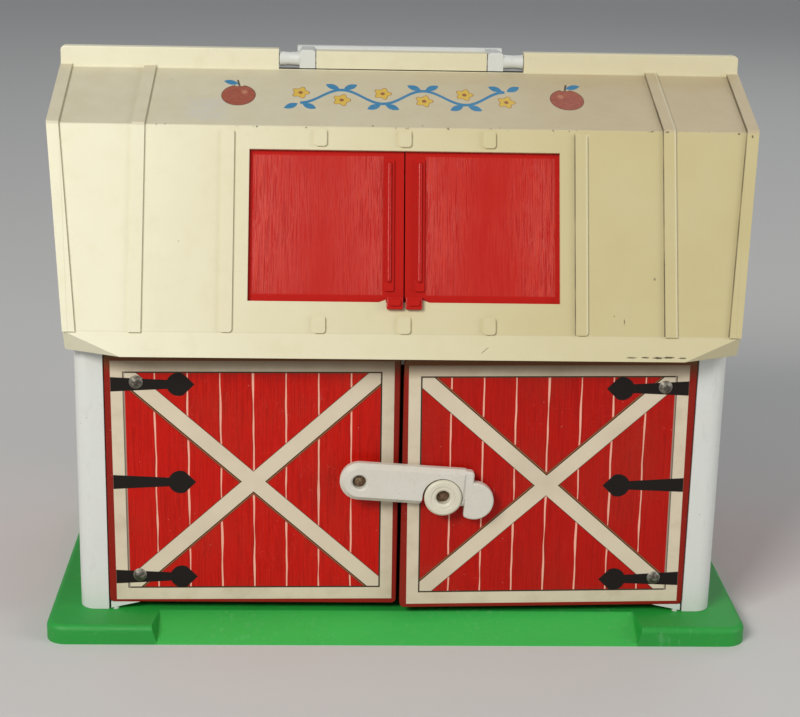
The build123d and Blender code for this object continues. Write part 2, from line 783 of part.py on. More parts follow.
def door_plane(side_x, ajar):
    """A door's own plane: origin on its pivot line, x towards the right, y up, z to the front."""
    return Plane(
        origin=(side_x * pivot_x, -pivot_y, 0),
        x_dir=(cos(radians(ajar)), side_x * sin(radians(ajar)), 0),
        z_dir=(side_x * sin(radians(ajar)), -cos(radians(ajar)), 0),
    )


half_door = door_thickness / 2
plate_back = half_door + bracket_plate
latch_play = slip_clearance
front_of_boss = half_door + latch_boss_height


def turned(plane, across, up, profile, dome=0.0):
    """A piece turned about a door-normal line, from a profile of (radius, distance in front of the pivot).

    With a dome, the profile's last point is the rim of a domed face that high.
    """
    centre = plane.from_local_coords((across, up, 0))
    section = Plane(origin=centre, x_dir=plane.x_dir, z_dir=-plane.y_dir)
    with BuildPart() as piece:
        with BuildSketch(section):
            with BuildLine():
                Polyline(*profile, close=dome == 0)
                if dome > 0:
                    rim_radius, rim_front = profile[-1]
                    crown = (0, rim_front + dome)
                    TangentArc(crown, (rim_radius, rim_front), tangent=(1, 0))
                    Line(crown, profile[0])
            make_face()
        revolve(axis=Axis(centre, plane.z_dir))
    return piece.part


def rivet(plane, across, up, head_front, head_radius, back):
    """A domed rivet with its head on a face at head_front and its tail clinched on a face at back."""
    profile = [
        (0, back - rivet_tail_height),
        (rivet_tail_radius, back - rivet_tail_height),
        (rivet_tail_radius, back),
        (rivet_shank_radius, back),
        (rivet_shank_radius, head_front),
        (head_radius, head_front),
    ]
    return turned(plane, across, up, profile, rivet_dome)


def door_pieces(side_x, hand, ajar, fitting_holes):
    """A hardboard door with its two hinge brackets and their rivets."""
    plane = door_plane(side_x, ajar)
    outer = side_x * pivot_inset
    free = side_x * (pivot_inset - door_length)
    rivet_across = side_x * (pivot_inset - rivet_inset_x)
    rivet_ups = (door_bottom + rivet_inset_z, door_top - rivet_inset_z)
    with BuildPart() as board:
        with BuildSketch(plane.offset(-half_door)):
            with Locations(((outer + free) / 2, (door_bottom + door_top) / 2)):
                RectangleRounded(door_length, door_top - door_bottom, door_corner_radius)
            with Locations(*[(rivet_across, up) for up in rivet_ups], *fitting_holes):
                Circle(rivet_shank_radius, mode=Mode.SUBTRACT)
        extrude(amount=door_thickness)
        front = board.faces().sort_by(Axis(plane.origin, plane.z_dir))[-1]
        fillet(front.outer_wire().edges(), door_edge_radius)
    finish_piece(board, f"{hand}_door")

    for level, edge, away, up in (
        ("lower", door_bottom, -1, rivet_ups[0]),
        ("upper", door_top, 1, rivet_ups[1]),
    ):
        end = side_x * (pivot_inset - moving_clearance)
        inner_end = end - side_x * bracket_width
        web_drop = edge + away * bracket_web_drop
        with BuildPart() as bracket:
            with BuildSketch(plane.offset(-half_door)):
                with BuildLine():
                    Polyline(
                        (end, edge),
                        (end, edge - away * bracket_height),
                        (inner_end, edge - away * bracket_height / 2),
                        (inner_end, edge),
                        close=True,
                    )
                make_face()
                with Locations((rivet_across, up)):
                    Circle(rivet_shank_radius, mode=Mode.SUBTRACT)
            extrude(amount=-bracket_plate)
            with BuildSketch(plane.offset(-plate_back)):
                with BuildLine():
                    Polyline(
                        (end, edge),
                        (end, web_drop),
                        (end - side_x * bracket_web_length, edge),
                        close=True,
                    )
                make_face()
            extrude(amount=plate_back + half_door)
            with BuildSketch(Plane(origin=plane.from_local_coords((0, edge, 0)), z_dir=(0, 0, away))):
                Circle(pivot_radius)
            extrude(amount=hinge_space + pivot_reach)
        finish_piece(bracket, f"{hand}_door_{level}_bracket")

    with BuildPart() as rivets:
        for up in rivet_ups:
            add(rivet(plane, rivet_across, up, half_door, rivet_radius, -plate_back))
    finish_piece(rivets, f"{hand}_door_rivets")


# Left door, with the boss and the rivet that the latch turns on
left_plane = door_plane(-1, 0)
latch_across = latch_pivot_x + pivot_x
door_pieces(-1, "left", 0, [(latch_across, latch_pivot_z)])

with BuildPart() as latch_boss:
    with BuildSketch(left_plane.offset(half_door)):
        with Locations((latch_across, latch_pivot_z)):
            Circle(latch_boss_radius)
            Circle(rivet_shank_radius, mode=Mode.SUBTRACT)
    extrude(amount=latch_boss_height)
finish_piece(latch_boss, "latch_boss")

latch_floor = front_of_boss + latch_play + latch_thickness - latch_recess_depth
with BuildPart() as latch_rivet:
    head_radius = latch_recess_radius - latch_rivet_gap
    add(rivet(left_plane, latch_across, latch_pivot_z, latch_floor + latch_play, head_radius, -half_door))
finish_piece(latch_rivet, "latch_rivet")

# Right door, with the round catch that the latch drops over
right_plane = door_plane(1, right_door_ajar)
knob_across = knob_x - pivot_x
door_pieces(1, "right", right_door_ajar, [(knob_across, knob_z)])

knob_front = half_door + knob_height
knob_floor = knob_front - knob_hole_depth
with BuildPart() as latch_catch:
    add(
        turned(
            right_plane,
            knob_across,
            knob_z,
            [
                (rivet_shank_radius, half_door),
                (knob_radius, half_door),
                (knob_radius, knob_front - knob_edge_radius),
                (knob_radius - knob_edge_radius, knob_front),
                (knob_ring_radius, knob_front),
                (knob_ring_radius, knob_front - knob_ring_step),
                (knob_hole_radius + knob_hole_bevel, knob_front - knob_ring_step),
                (knob_hole_radius, knob_front - knob_ring_step - knob_hole_bevel),
                (knob_hole_radius, knob_floor),
                (rivet_shank_radius, knob_floor),
            ],
        )
    )
finish_piece(latch_catch, "latch_catch")

with BuildPart() as catch_rivet:
    head_radius = knob_hole_radius - latch_play
    add(rivet(right_plane, knob_across, knob_z, knob_floor, head_radius, -half_door))
finish_piece(catch_rivet, "catch_rivet")

# Latch bar: turns on the left door; its notch drops over the catch, and its tab is lifted by a finger
latch_plane = Plane(
    origin=left_plane.from_local_coords((latch_across, latch_pivot_z, front_of_boss + latch_play)),
    x_dir=left_plane.x_dir * cos(radians(latch_droop)) - left_plane.y_dir * sin(radians(latch_droop)),
    z_dir=left_plane.z_dir,
)
notch_radius = knob_radius + moving_clearance
sweep_play = moving_clearance / 2

tab_top = latch_half_height - tab_shoulder_drop

# The bar is drawn flat about its pivot, and then set on the door at its droop
with BuildPart() as latch_tab:
    with BuildSketch():
        with Locations((latch_reach / 2 + tab_shoulder, (tab_top - tab_down) / 2)):
            RectangleRounded(latch_reach, tab_top + tab_down, tab_shoulder_radius)
        with Locations((tab_out, -tab_down)):
            Circle(tab_radius)
        with Locations((tab_out - tab_inner_cut - tab_radius, -tab_down - tab_radius)):
            Rectangle(2 * tab_radius, 2 * tab_radius, mode=Mode.SUBTRACT)
        fillet(vertices().sort_by(Axis.Y)[0], tab_inner_radius)
    extrude(amount=latch_thickness - tab_thinner)
    fillet(latch_tab.faces().sort_by(Axis.Z)[-1].edges(), tab_edge_radius)

with BuildPart() as flat_bar:
    with BuildSketch():
        with Locations((latch_reach / 2, 0)):
            Rectangle(latch_reach, 2 * latch_half_height)
        fillet(vertices().sort_by(Axis.X)[-2:], latch_corner_radius)
        Circle(latch_half_height)
    extrude(amount=latch_thickness)
    chamfer(flat_bar.faces().sort_by(Axis.Z)[-1].edges(), latch_edge)
    add(latch_tab.part)
    with BuildSketch():
        with Locations(
            (catch_distance * cos(radians(catch_angle)), catch_distance * sin(radians(catch_angle)))
        ):
            Circle(notch_radius)
        with BuildLine():
            near = CenterArc((0, 0), catch_distance - knob_radius - sweep_play, catch_angle, notch_sweep)
            far = CenterArc((0, 0), catch_distance + knob_radius + sweep_play, catch_angle, notch_sweep)
            Line(near @ 0, far @ 0)
            Line(near @ 1, far @ 1)
        make_face()
    extrude(amount=latch_thickness, mode=Mode.SUBTRACT)
    with BuildSketch(Plane.XY.offset(latch_thickness - latch_recess_depth)):
        Circle(latch_recess_radius)
    extrude(amount=latch_recess_depth, mode=Mode.SUBTRACT)
    with BuildSketch(Plane.XY.offset(latch_thickness)):
        Circle(latch_recess_radius + latch_recess_bevel)
    extrude(amount=-latch_recess_bevel, taper=45, mode=Mode.SUBTRACT)
    with BuildSketch():
        Circle(rivet_shank_radius + running_clearance)
    extrude(amount=latch_thickness, mode=Mode.SUBTRACT)

with BuildPart() as latch_bar:
    with Locations(latch_plane):
        add(flat_bar.part)
finish_piece(latch_bar, "latch_bar")
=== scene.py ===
import json
import math

import bmesh
import bpy
from mathutils import Matrix, Vector

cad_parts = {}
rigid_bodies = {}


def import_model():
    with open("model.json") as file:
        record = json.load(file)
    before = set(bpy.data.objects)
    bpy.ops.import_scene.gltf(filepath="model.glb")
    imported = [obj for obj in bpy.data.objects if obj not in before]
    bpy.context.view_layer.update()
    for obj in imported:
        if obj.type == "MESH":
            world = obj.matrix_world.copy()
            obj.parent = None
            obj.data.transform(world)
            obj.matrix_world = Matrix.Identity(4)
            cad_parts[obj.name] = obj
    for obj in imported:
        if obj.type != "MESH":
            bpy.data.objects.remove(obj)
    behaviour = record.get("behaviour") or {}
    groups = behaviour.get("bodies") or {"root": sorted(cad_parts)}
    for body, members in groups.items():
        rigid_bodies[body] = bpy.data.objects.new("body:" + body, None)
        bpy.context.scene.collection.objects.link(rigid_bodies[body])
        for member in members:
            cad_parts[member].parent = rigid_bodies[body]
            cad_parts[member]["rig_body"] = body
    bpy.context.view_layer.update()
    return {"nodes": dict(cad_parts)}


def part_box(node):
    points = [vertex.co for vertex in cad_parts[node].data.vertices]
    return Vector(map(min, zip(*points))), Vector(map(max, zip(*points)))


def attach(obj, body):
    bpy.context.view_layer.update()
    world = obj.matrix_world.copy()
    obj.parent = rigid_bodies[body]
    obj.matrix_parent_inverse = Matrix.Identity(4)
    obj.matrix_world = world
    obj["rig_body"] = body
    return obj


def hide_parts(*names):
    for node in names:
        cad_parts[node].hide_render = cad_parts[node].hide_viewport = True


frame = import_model()
nodes = frame["nodes"]

# Studio: a pale floor that runs out of sight, a big soft light from the front left, weaker ones from the right
# and from behind, and a camera a little above the roof, standing slightly left of the middle.
MM = 0.001
FLOOR_HALF = 9.0  # metres
FLOOR_PALE = (0.62, 0.62, 0.61)
FLOOR_ROUGHNESS = 0.85
SKY_TINT = (0.93, 0.96, 1.0)
SKY_STRENGTH = 0.29
CAMERA_AT = Vector((-34.404, -912.274, 386.223)) * MM
CAMERA_YAW = 0.0403957
CAMERA_PITCH = 0.2921233
CAMERA_ROLL = 0.0214940
FOCAL_PIXELS = 1808.31
PICTURE_WIDTH = 800

forward = Vector((
    math.sin(CAMERA_YAW) * math.cos(CAMERA_PITCH),
    math.cos(CAMERA_YAW) * math.cos(CAMERA_PITCH),
    -math.sin(CAMERA_PITCH),
))
level_right = Vector((math.cos(CAMERA_YAW), -math.sin(CAMERA_YAW), 0))
level_up = level_right.cross(forward)
camera_right = level_right * math.cos(CAMERA_ROLL) + level_up * math.sin(CAMERA_ROLL)
camera_up = level_up * math.cos(CAMERA_ROLL) - level_right * math.sin(CAMERA_ROLL)

camera_data = bpy.data.cameras.new("camera")
camera_data.sensor_width = 36.0
camera_data.lens = camera_data.sensor_width * FOCAL_PIXELS / PICTURE_WIDTH
camera_data.clip_start = 0.01
camera = bpy.data.objects.new("camera", camera_data)
turn = Matrix((camera_right, camera_up, -forward)).transposed()
camera.matrix_world = Matrix.Translation(CAMERA_AT) @ turn.to_4x4()
bpy.context.scene.collection.objects.link(camera)
bpy.context.scene.camera = camera
bpy.context.scene.view_settings.view_transform = "Standard"

world = bpy.data.worlds.new("studio")
world.use_nodes = True
sky = world.node_tree.nodes["Background"]
sky.inputs["Color"].default_value = (*SKY_TINT, 1)
sky.inputs["Strength"].default_value = SKY_STRENGTH
bpy.context.scene.world = world


def soft_light(name, place, target, size, power, colour):
    """A square softbox standing at a place and facing a target."""
    data = bpy.data.lights.new(name, "AREA")
    data.shape = "RECTANGLE"
    data.size = size[0]
    data.size_y = size[1]
    data.energy = power
    data.color = colour
    light = bpy.data.objects.new(name, data)
    light.location = place
    light.rotation_euler = (Vector(target) - Vector(place)).to_track_quat("-Z", "Y").to_euler()
    bpy.context.scene.collection.objects.link(light)


soft_light("key", (-0.95, -1.45, 1.25), (0, 0, 0.13), (0.8, 0.6), 30, (1.0, 0.97, 0.92))
soft_light("fill", (1.75, -0.8, 0.75), (0, 0, 0.12), (0.9, 0.9), 11, (0.98, 0.97, 0.95))
soft_light("rear", (0.6, 1.7, 1.5), (0, 0, 0.15), (1.2, 1.0), 5, (1.0, 1.0, 1.0))

floor_mesh = bpy.data.meshes.new("floor")
corners = [(x * FLOOR_HALF, y * FLOOR_HALF, 0) for x, y in ((-1, -1), (1, -1), (1, 1), (-1, 1))]
floor_mesh.from_pydata(corners, [], [(0, 1, 2, 3)])
floor = bpy.data.objects.new("floor", floor_mesh)
bpy.context.scene.collection.objects.link(floor)
floor_paper = bpy.data.materials.new("floor_paper")
floor_paper.use_nodes = True
floor_shader = floor_paper.node_tree.nodes["Principled BSDF"]
floor_shader.inputs["Base Color"].default_value = (*FLOOR_PALE, 1)
floor_shader.inputs["Roughness"].default_value = FLOOR_ROUGHNESS
floor_mesh.materials.append(floor_paper)

# Base: one green moulding in tough polythene, with a fine pebbled grain, a pocketed underside, a ramp between the
# two front corner blocks painted paler as a painted highlight, painted shade low on its sides, and scattered pale
# scuffs. Four zinc-plated screws go up from under it into the posts.


class Wire:
    """One value, vector or colour in a material, which can be used in sums as a number is."""

    def __init__(self, paint, socket):
        self.paint = paint
        self.socket = socket

    def math(self, operation, *others, clamp=False):
        settings = {"operation": operation, "use_clamp": clamp}
        return self.paint.node("ShaderNodeMath", settings, dict(enumerate((self, *others))))

    def __add__(self, other):
        return self.math("ADD", other)

    def __sub__(self, other):
        return self.math("SUBTRACT", other)

    def __rsub__(self, other):
        return self.math("MULTIPLY_ADD", -1, other)

    def __mul__(self, other):
        return self.math("MULTIPLY", other)

    def __truediv__(self, other):
        return self.math("DIVIDE", other)

    def __pow__(self, other):
        return self.math("POWER", other)

    def __neg__(self):
        return self * -1

    def __abs__(self):
        return self.math("ABSOLUTE")

    def __or__(self, other):
        return self.math("MAXIMUM", other)

    def __and__(self, other):
        return self.math("MINIMUM", other)

    __radd__ = __add__
    __rmul__ = __mul__

    def clamped(self):
        return self.math("ADD", 0, clamp=True)

    def inside(self, soft=0.12):
        """1 where this distance is below nought, with an edge this soft."""
        return self.math("MULTIPLY_ADD", -1 / soft, 0.5, clamp=True)

    def above(self, level, soft=0.1):
        """1 where this value is over a level, rising over a soft step."""
        return self.math("MULTIPLY_ADD", 1 / soft, 0.5 - level / soft, clamp=True)

    def under(self, mask, colour):
        """This colour with another one laid over it where the mask is 1."""
        settings = {"data_type": "RGBA"}
        values = {"Factor_Float": mask, "A_Color": self, "B_Color": colour}
        return self.paint.node("ShaderNodeMix", settings, values, "Result_Color")

    def dot(self, direction):
        settings = {"operation": "DOT_PRODUCT"}
        return self.paint.node("ShaderNodeVectorMath", settings, {0: self, 1: direction}, "Value")

    def times(self, factors):
        settings = {"operation": "MULTIPLY"}
        return self.paint.node("ShaderNodeVectorMath", settings, {0: self, 1: factors})

    def plus(self, step):
        return self.paint.node("ShaderNodeVectorMath", {"operation": "ADD"}, {0: self, 1: step})


class Paint:
    """A material with a Principled shader, whose place wire is the rest position in millimetres."""

    def __init__(self, name):
        self.material = bpy.data.materials.new(name)
        self.material.use_nodes = True
        self.tree = self.material.node_tree
        self.shader = self.tree.nodes["Principled BSDF"]
        self.place = self.node("ShaderNodeTexCoord", {}, {}, "Object").times((1000, 1000, 1000))
        self.x, self.y, self.z = (self.place.dot(axis) for axis in ((1, 0, 0), (0, 1, 0), (0, 0, 1)))

    def socket(self, sockets, key):
        if isinstance(key, int):
            return sockets[key]
        return next(s for s in sockets if key in (s.identifier, s.name) and s.enabled)

    def node(self, kind, settings, values, output=0):
        """A node of any kind: its settings first, then its sockets' values or wires. Gives one output."""
        made = self.tree.nodes.new(kind)
        for name, value in settings.items():
            setattr(made, name, value)
        for key, value in values.items():
            socket = self.socket(made.inputs, key)
            if isinstance(value, Wire):
                self.tree.links.new(value.socket, socket)
            elif isinstance(value, tuple) and socket.type == "RGBA":
                socket.default_value = (*value, 1)
            else:
                socket.default_value = value
        return Wire(self, self.socket(made.outputs, output))

    def noise(self, scale, detail=2.0, stretch=(1, 1, 1), roughness=0.5, distortion=0.0, shift=(0, 0, 0)):
        """Cloudy noise from 0 to 1 with about so many waves in each millimetre."""
        values = {
            "Vector": self.place.times(stretch).plus(shift),
            "Scale": scale,
            "Detail": detail,
            "Roughness": roughness,
            "Distortion": distortion,
        }
        return self.node("ShaderNodeTexNoise", {}, values, "Fac")

    def specks(self, scale, size, shift, share):
        """Small round marks: a share of many scattered points, each a spot of this size in cells."""
        chosen = self.noise(scale * 0.35, 1.0, shift=shift).above(share, 0.02)
        values = {"Vector": self.place.plus(shift), "Scale": scale}
        reach = self.node("ShaderNodeTexVoronoi", {"feature": "F1"}, values, "Distance")
        return (reach - size).inside(size * 0.4) * chosen

    def scratches(self, shift, amount):
        """Short hairline scratches lying in several directions."""
        marks = None
        for turned, stretch in enumerate(((1, 0.06, 0.35), (0.3, 1, 0.06), (0.05, 0.5, 1))):
            lines = self.noise(0.9, 1.0, stretch, shift=(shift + 13.0 * turned, 4.0, 7.0))
            fine = (abs(lines - 0.5) - 0.0035).inside(0.004)
            patch = self.noise(0.03, 1.0, shift=(shift, 31.0 * turned, 2.0)).above(1 - amount, 0.05)
            marks = fine * patch if marks is None else marks | (fine * patch)
        return marks

    def base(self, first):
        """A wire for a plain colour to start from."""
        values = {"Factor_Float": 0.0, "A_Color": first, "B_Color": first}
        return self.node("ShaderNodeMix", {"data_type": "RGBA"}, values, "Result_Color")

    def finish(self, colour, roughness, height, depth, metallic=0.0, specular=0.5):
        """Sets the colour, the roughness as a wire or number, and relief of a height times a depth in millimetres."""
        self.tree.links.new(colour.socket, self.shader.inputs["Base Color"])
        if isinstance(roughness, Wire):
            self.tree.links.new(roughness.socket, self.shader.inputs["Roughness"])
        else:
            self.shader.inputs["Roughness"].default_value = roughness
        values = {"Strength": 1.0, "Distance": depth * MM, "Height": height}
        normal = self.node("ShaderNodeBump", {}, values, "Normal")
        self.tree.links.new(normal.socket, self.shader.inputs["Normal"])
        self.shader.inputs["Metallic"].default_value = metallic
        self.shader.inputs["Specular IOR Level"].default_value = specular
        return self.material


def dress(name, material):
    """Gives a CAD node its finish and leaves its shape as it is."""
    mesh = nodes[name].data
    mesh.materials.clear()
    mesh.materials.append(material)


SMOOTH_COSINE = math.cos(math.radians(45))


def softened(name, material, radius, sharp=28.0, above=-1.0):
    """A copy of a CAD node whose sharp edges are rounded over, as on a moulding, standing for that node.

    Only what lies higher than the level above, in millimetres, is changed.
    """
    shape = bmesh.new()
    shape.from_mesh(nodes[name].data)
    bmesh.ops.remove_doubles(shape, verts=shape.verts, dist=0.004 * MM)
    verts = [v for v in shape.verts if v.co.z > above * MM]
    edges = [e for e in shape.edges if min(v.co.z for v in e.verts) > above * MM]
    bmesh.ops.dissolve_limit(
        shape, angle_limit=math.radians(0.5), verts=verts, edges=edges, use_dissolve_boundaries=False
    )
    edges = [e for e in shape.edges if e.is_manifold and e.calc_face_angle(0) > math.radians(sharp)]
    bmesh.ops.bevel(
        shape,
        geom=[e for e in edges if min(v.co.z for v in e.verts) > above * MM],
        offset=radius * MM,
        offset_type="OFFSET",
        segments=3,
        profile=0.5,
        affect="EDGES",
        clamp_overlap=True,
        miter_outer="ARC",
    )
    bmesh.ops.remove_doubles(shape, verts=shape.verts, dist=0.002 * MM)
    shape.normal_update()
    pull = {}
    for face in shape.faces:
        face.smooth = True
        pull[face] = face.normal * face.calc_area()
    normals = []
    for face in shape.faces:
        for corner in face.loops:
            near = [f for f in corner.vert.link_faces if f.normal.dot(face.normal) > SMOOTH_COSINE]
            normals.append(sum((pull[f] for f in near), pull[face] * 0.01).normalized())
    mesh = bpy.data.meshes.new(name + "_soft")
    shape.to_mesh(mesh)
    shape.free()
    mesh.normals_split_custom_set(normals)
    mesh.materials.append(material)
    piece = bpy.data.objects.new(name + "_soft", mesh)
    bpy.context.scene.collection.objects.link(piece)
    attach(piece, nodes[name]["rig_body"])
    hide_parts(name)
    return piece


BASE_GREEN = (0.017, 0.34, 0.045)
BASE_GREEN_DEEP = (0.008, 0.27, 0.028)
RAMP_LIGHT_GREEN = (0.050, 0.50, 0.085)
BASE_SCUFF = (0.20, 0.52, 0.24)
RAMP_HALF = 116.8
RAMP_BACK = 93.2
POCKET_TOP = 8.0

paint = Paint("green_polythene")
pebble = paint.noise(2.6, 2.0, roughness=0.5)
clouds = paint.noise(0.02, 3.0)
scuffs = paint.noise(0.35, 4.0, (1, 1, 0.4)).above(0.64, 0.12) * paint.noise(0.03, 2.0).above(0.5, 0.2)
marks = paint.scratches(3.0, 0.5)
colour = paint.base(BASE_GREEN).under(clouds.above(0.5, 0.5) * 0.6, BASE_GREEN_DEEP)
# Painted highlight: the ramp is painted a paler green for the light it catches.
ramp_light = (abs(paint.x) - RAMP_HALF).inside(1.5) * (-paint.y).above(RAMP_BACK, 1.0)
colour = colour.under(ramp_light * 0.7, RAMP_LIGHT_GREEN)
# Painted shade: darker green below the pocket top, except on the ramp.
skirt_shade = (paint.z - POCKET_TOP).inside(2.5) * (1 - ramp_light)
colour = colour.under(skirt_shade * 0.5, BASE_GREEN_DEEP)
colour = colour.under(scuffs * 0.2, BASE_SCUFF).under(marks * 0.15, BASE_SCUFF)
roughness = pebble * 0.15 + 0.42 + scuffs * 0.15
base_green = paint.finish(colour, roughness, pebble + marks * -0.4, 0.09)
softened("base_plate", base_green, 0.5, above=POCKET_TOP)

SCREW_ZINC = (0.42, 0.41, 0.39)
SCREW_DULL = (0.2, 0.18, 0.15)

paint = Paint("screw_zinc")
clouds = paint.noise(1.2, 3.0)
colour = paint.base(SCREW_ZINC).under(clouds.above(0.55, 0.2) * 0.5, SCREW_DULL)
screw_zinc = paint.finish(colour, clouds * 0.3 + 0.25, clouds, 0.05, metallic=1.0)
dress("base_screws", screw_zinc)

# Corner posts: four white mouldings in hard plastic with a rounded outer corner, grooved for the boards and
# standing on spigots in the base. They carry faint grey rubs, a few dark nicks and yellowed patches.
POST_WHITE = (0.66, 0.68, 0.65)
POST_RUB = (0.50, 0.50, 0.47)
POST_YELLOWED = (0.67, 0.66, 0.60)
POST_NICK = (0.2, 0.19, 0.17)

paint = Paint("post_white")
clouds = paint.noise(0.05, 3.0)
rubs = paint.noise(0.25, 4.0, (1, 1, 0.3)).above(0.66, 0.14) * 0.3
nicks = paint.specks(0.25, 0.09, (5.0, 2.0, 1.0), 0.62)
marks = paint.scratches(41.0, 0.46)
colour = paint.base(POST_WHITE).under(clouds.above(0.55, 0.4) * 0.3, POST_YELLOWED)
colour = colour.under(rubs, POST_RUB).under(nicks * 0.6, POST_NICK).under(marks * 0.35, POST_RUB)
post_white = paint.finish(colour, rubs * 0.5 + 0.3, clouds * 0.3 + marks * -0.2, 0.08)
for name in ("front_left_post", "front_right_post", "rear_left_post", "rear_right_post"):
    softened(name, post_white, 0.25)

# Header and loft floor: a strip of painted board across the front over the doors, and a sheet of bare brown
# hardboard that rests on the posts. Hardboard has a mottled, fibrous face.
HARDBOARD = (0.30, 0.17, 0.085)
HARDBOARD_FIBRE = (0.17, 0.09, 0.045)
HEADER_WHITE = (0.62, 0.60, 0.52)
HEADER_WORN = (0.40, 0.36, 0.26)


def hardboard(paint, stretch):
    """The fibres and the colour of bare hardboard, drawn out one way."""
    fibre = paint.noise(2.2, 4.0, stretch, roughness=0.7, distortion=1.5)
    return fibre, paint.base(HARDBOARD).under(fibre.above(0.5, 0.4) * 0.8, HARDBOARD_FIBRE)


paint = Paint("bare_hardboard")
fibre, colour = hardboard(paint, (1, 0.35, 1))
bare_board = paint.finish(colour, 0.62, fibre, 0.08)
dress("loft_floor", bare_board)

paint = Paint("header_paint")
clouds = paint.noise(0.2, 3.0)
colour = paint.base(HEADER_WHITE).under(clouds.above(0.5, 0.3) * 0.5, HEADER_WORN)
header_paint = paint.finish(colour, 0.5, clouds, 0.05)
softened("front_header", header_paint, 0.4)

# Doors: two hardboard leaves, printed and varnished to look like red planks behind a pale frame and a crossed
# brace, with three black strap hinges. The print leans a little on its leaf and is laid out from the pivot, so
# it follows the right leaf, which stands ajar. Painted shadow darkens their tops under the eave, and the backs
# are bare hardboard.
PIVOT = Vector((138.4, -90.6, 0.0))
RIGHT_AJAR = math.radians(2.2)
DOOR_HALF = 1.6
FRAME_OUT = (3.35, 138.0, 15.0, 137.3)  # from the middle of the pair: inner and outer end, foot and top
FRAME_IN = (9.1, 132.3, 21.0, 132.0)
PRINT_MIDDLE = (70.9, 76.5)
PRINT_LEAN = {-1: math.radians(0.3), 1: math.radians(0.55)}  # of the print's upright lines, left and right
PRINT_RISE = {-1: math.radians(0.5), 1: 0.0}  # of its level lines
PRINT_LIFT = 0.2
PLANK_FIRST = 23.7
PLANK_STEP = 15.6
PLANK_GAP = 0.36
PLANK_WANDER = 1.6  # how far a gap strays from its straight line, from side to side
GAP_LINE = 0.28
BRACE_HALF = 3.75
OUTLINE = 0.3
FRAME_LINE_WIDTH = 0.75
STRAP_HEIGHTS = (125.6, 76.3, 27.0)
STRAP_HEAD = 105.8
STRAP_TIP = 98.2
STRAP_ROUND = 5.8
STRAP_POINT = 5.2
STRAP_FROM = 3.0
STRAP_WAIST = 2.25
STRAP_WIDENING = 1.35
STRAP_TAPER = (5.0, 27.0)  # where it starts outside the head, and how far it goes
# Painted shadow of the eave on the door tops: the height where it starts, how far it rises to full, and its share.
EAVE_SHADOW_FROM = 130.5
EAVE_SHADOW_RISE = 8.0
EAVE_SHADOW_SHARE = 0.88
PRINT_DEPTH = 0.45  # how far the front's print, and the back's bare board, reach onto the edges
BARE_DEPTH = 0.3
PLANK_RED = (0.51, 0.006, 0.001)
PLANK_DARK = (0.25, 0.004, 0.003)
PLANK_LIGHT = (0.56, 0.016, 0.009)
DEEPENED = {-1: 0.0, 1: 0.3}  # how much darker the planks of the right leaf are
GAP_PINK = (0.86, 0.42, 0.31)
FRAME_CREAM = (0.66, 0.575, 0.435)
FRAME_STAIN = (0.42, 0.34, 0.2)
FRAME_LINE = (0.035, 0.030, 0.018)
LINE_BROWN = (0.055, 0.024, 0.010)
BRACE_SHADE = (0.34, 0.13, 0.055)
BRACE_DARK = (0.20, 0.015, 0.008)
STRAP_BLACK = (0.012, 0.009, 0.008)
HINGE_SHADE = (0.32, 0.26, 0.20)
HINGE_LINE = (0.10, 0.08, 0.06)
EDGE_RED = (0.25, 0.012, 0.006)
EAVE_SHADOW = (0.12, 0.06, 0.02)
BLOOM_BROWN = (0.12, 0.05, 0.02)
DUST_PALE = (0.75, 0.5, 0.42)
SCRATCH_PALE = (0.75, 0.42, 0.34)
BRACE_SHADOWS = ((1.35, BRACE_DARK), (0.95, BRACE_SHADE), (0.6, LINE_BROWN))  # widest first
HINGE_LINES = ((1.1, 0.8, HINGE_SHADE), (0.35, 1.0, HINGE_LINE))  # width and share of the lines beside the hinges


def box_distance(u, v, low_u, high_u, low_v, high_v):
    """Distance outside a rectangle, less than nought within."""
    across = abs(u - (low_u + high_u) / 2) - (high_u - low_u) / 2
    up = abs(v - (low_v + high_v) / 2) - (high_v - low_v) / 2
    return across | up


def wood_grain(paint, across, plank, along, detail, roughness=0.5, distortion=0.0):
    """Noise from 0 to 1 in three directions of its own, each already stretched as wanted."""
    at = paint.node("ShaderNodeCombineXYZ", {}, {0: across, 1: plank, 2: along})
    values = {"Vector": at, "Scale": 1.0, "Detail": detail, "Roughness": roughness, "Distortion": distortion}
    return paint.node("ShaderNodeTexNoise", {}, values, "Fac")


def planks(paint, u, v, first, step, deepened=0.0):
    """Red printed planks: grain that differs from plank to plank, and the pink gaps between them."""
    number = ((u - first) / step).math("FLOOR")
    grain = wood_grain(paint, u * 0.42 + number * 7.3, number * 3.1, v * 0.045, 5.0, 0.62, 1.3)
    fine = wood_grain(paint, u * 1.6 + number * 5.0, number, v * 0.035, 3.0, distortion=0.6)
    colour = paint.base(PLANK_RED).under(grain.above(0.5, 0.3) * 0.4, PLANK_LIGHT).under(deepened, PLANK_DARK)
    rings = (abs((grain * 6.0).math("FRACT") - 0.5) - 0.05).inside(0.09)
    colour = colour.under(rings * 0.5, PLANK_DARK)
    colour = colour.under(fine.above(0.56, 0.14) * 0.45, PLANK_DARK)
    wander = wood_grain(paint, number * 9.0, 0.0, v * 0.05, 1.0)
    offset = u - first + (wander - 0.5) * PLANK_WANDER
    beside = ((offset / step + 0.5).math("FRACT") - 0.5) * step
    colour = colour.under((abs(beside - PLANK_GAP) - GAP_LINE).inside(0.2) * 0.8, PLANK_DARK)
    return colour.under((abs(beside) - PLANK_GAP).inside(0.25), GAP_PINK)


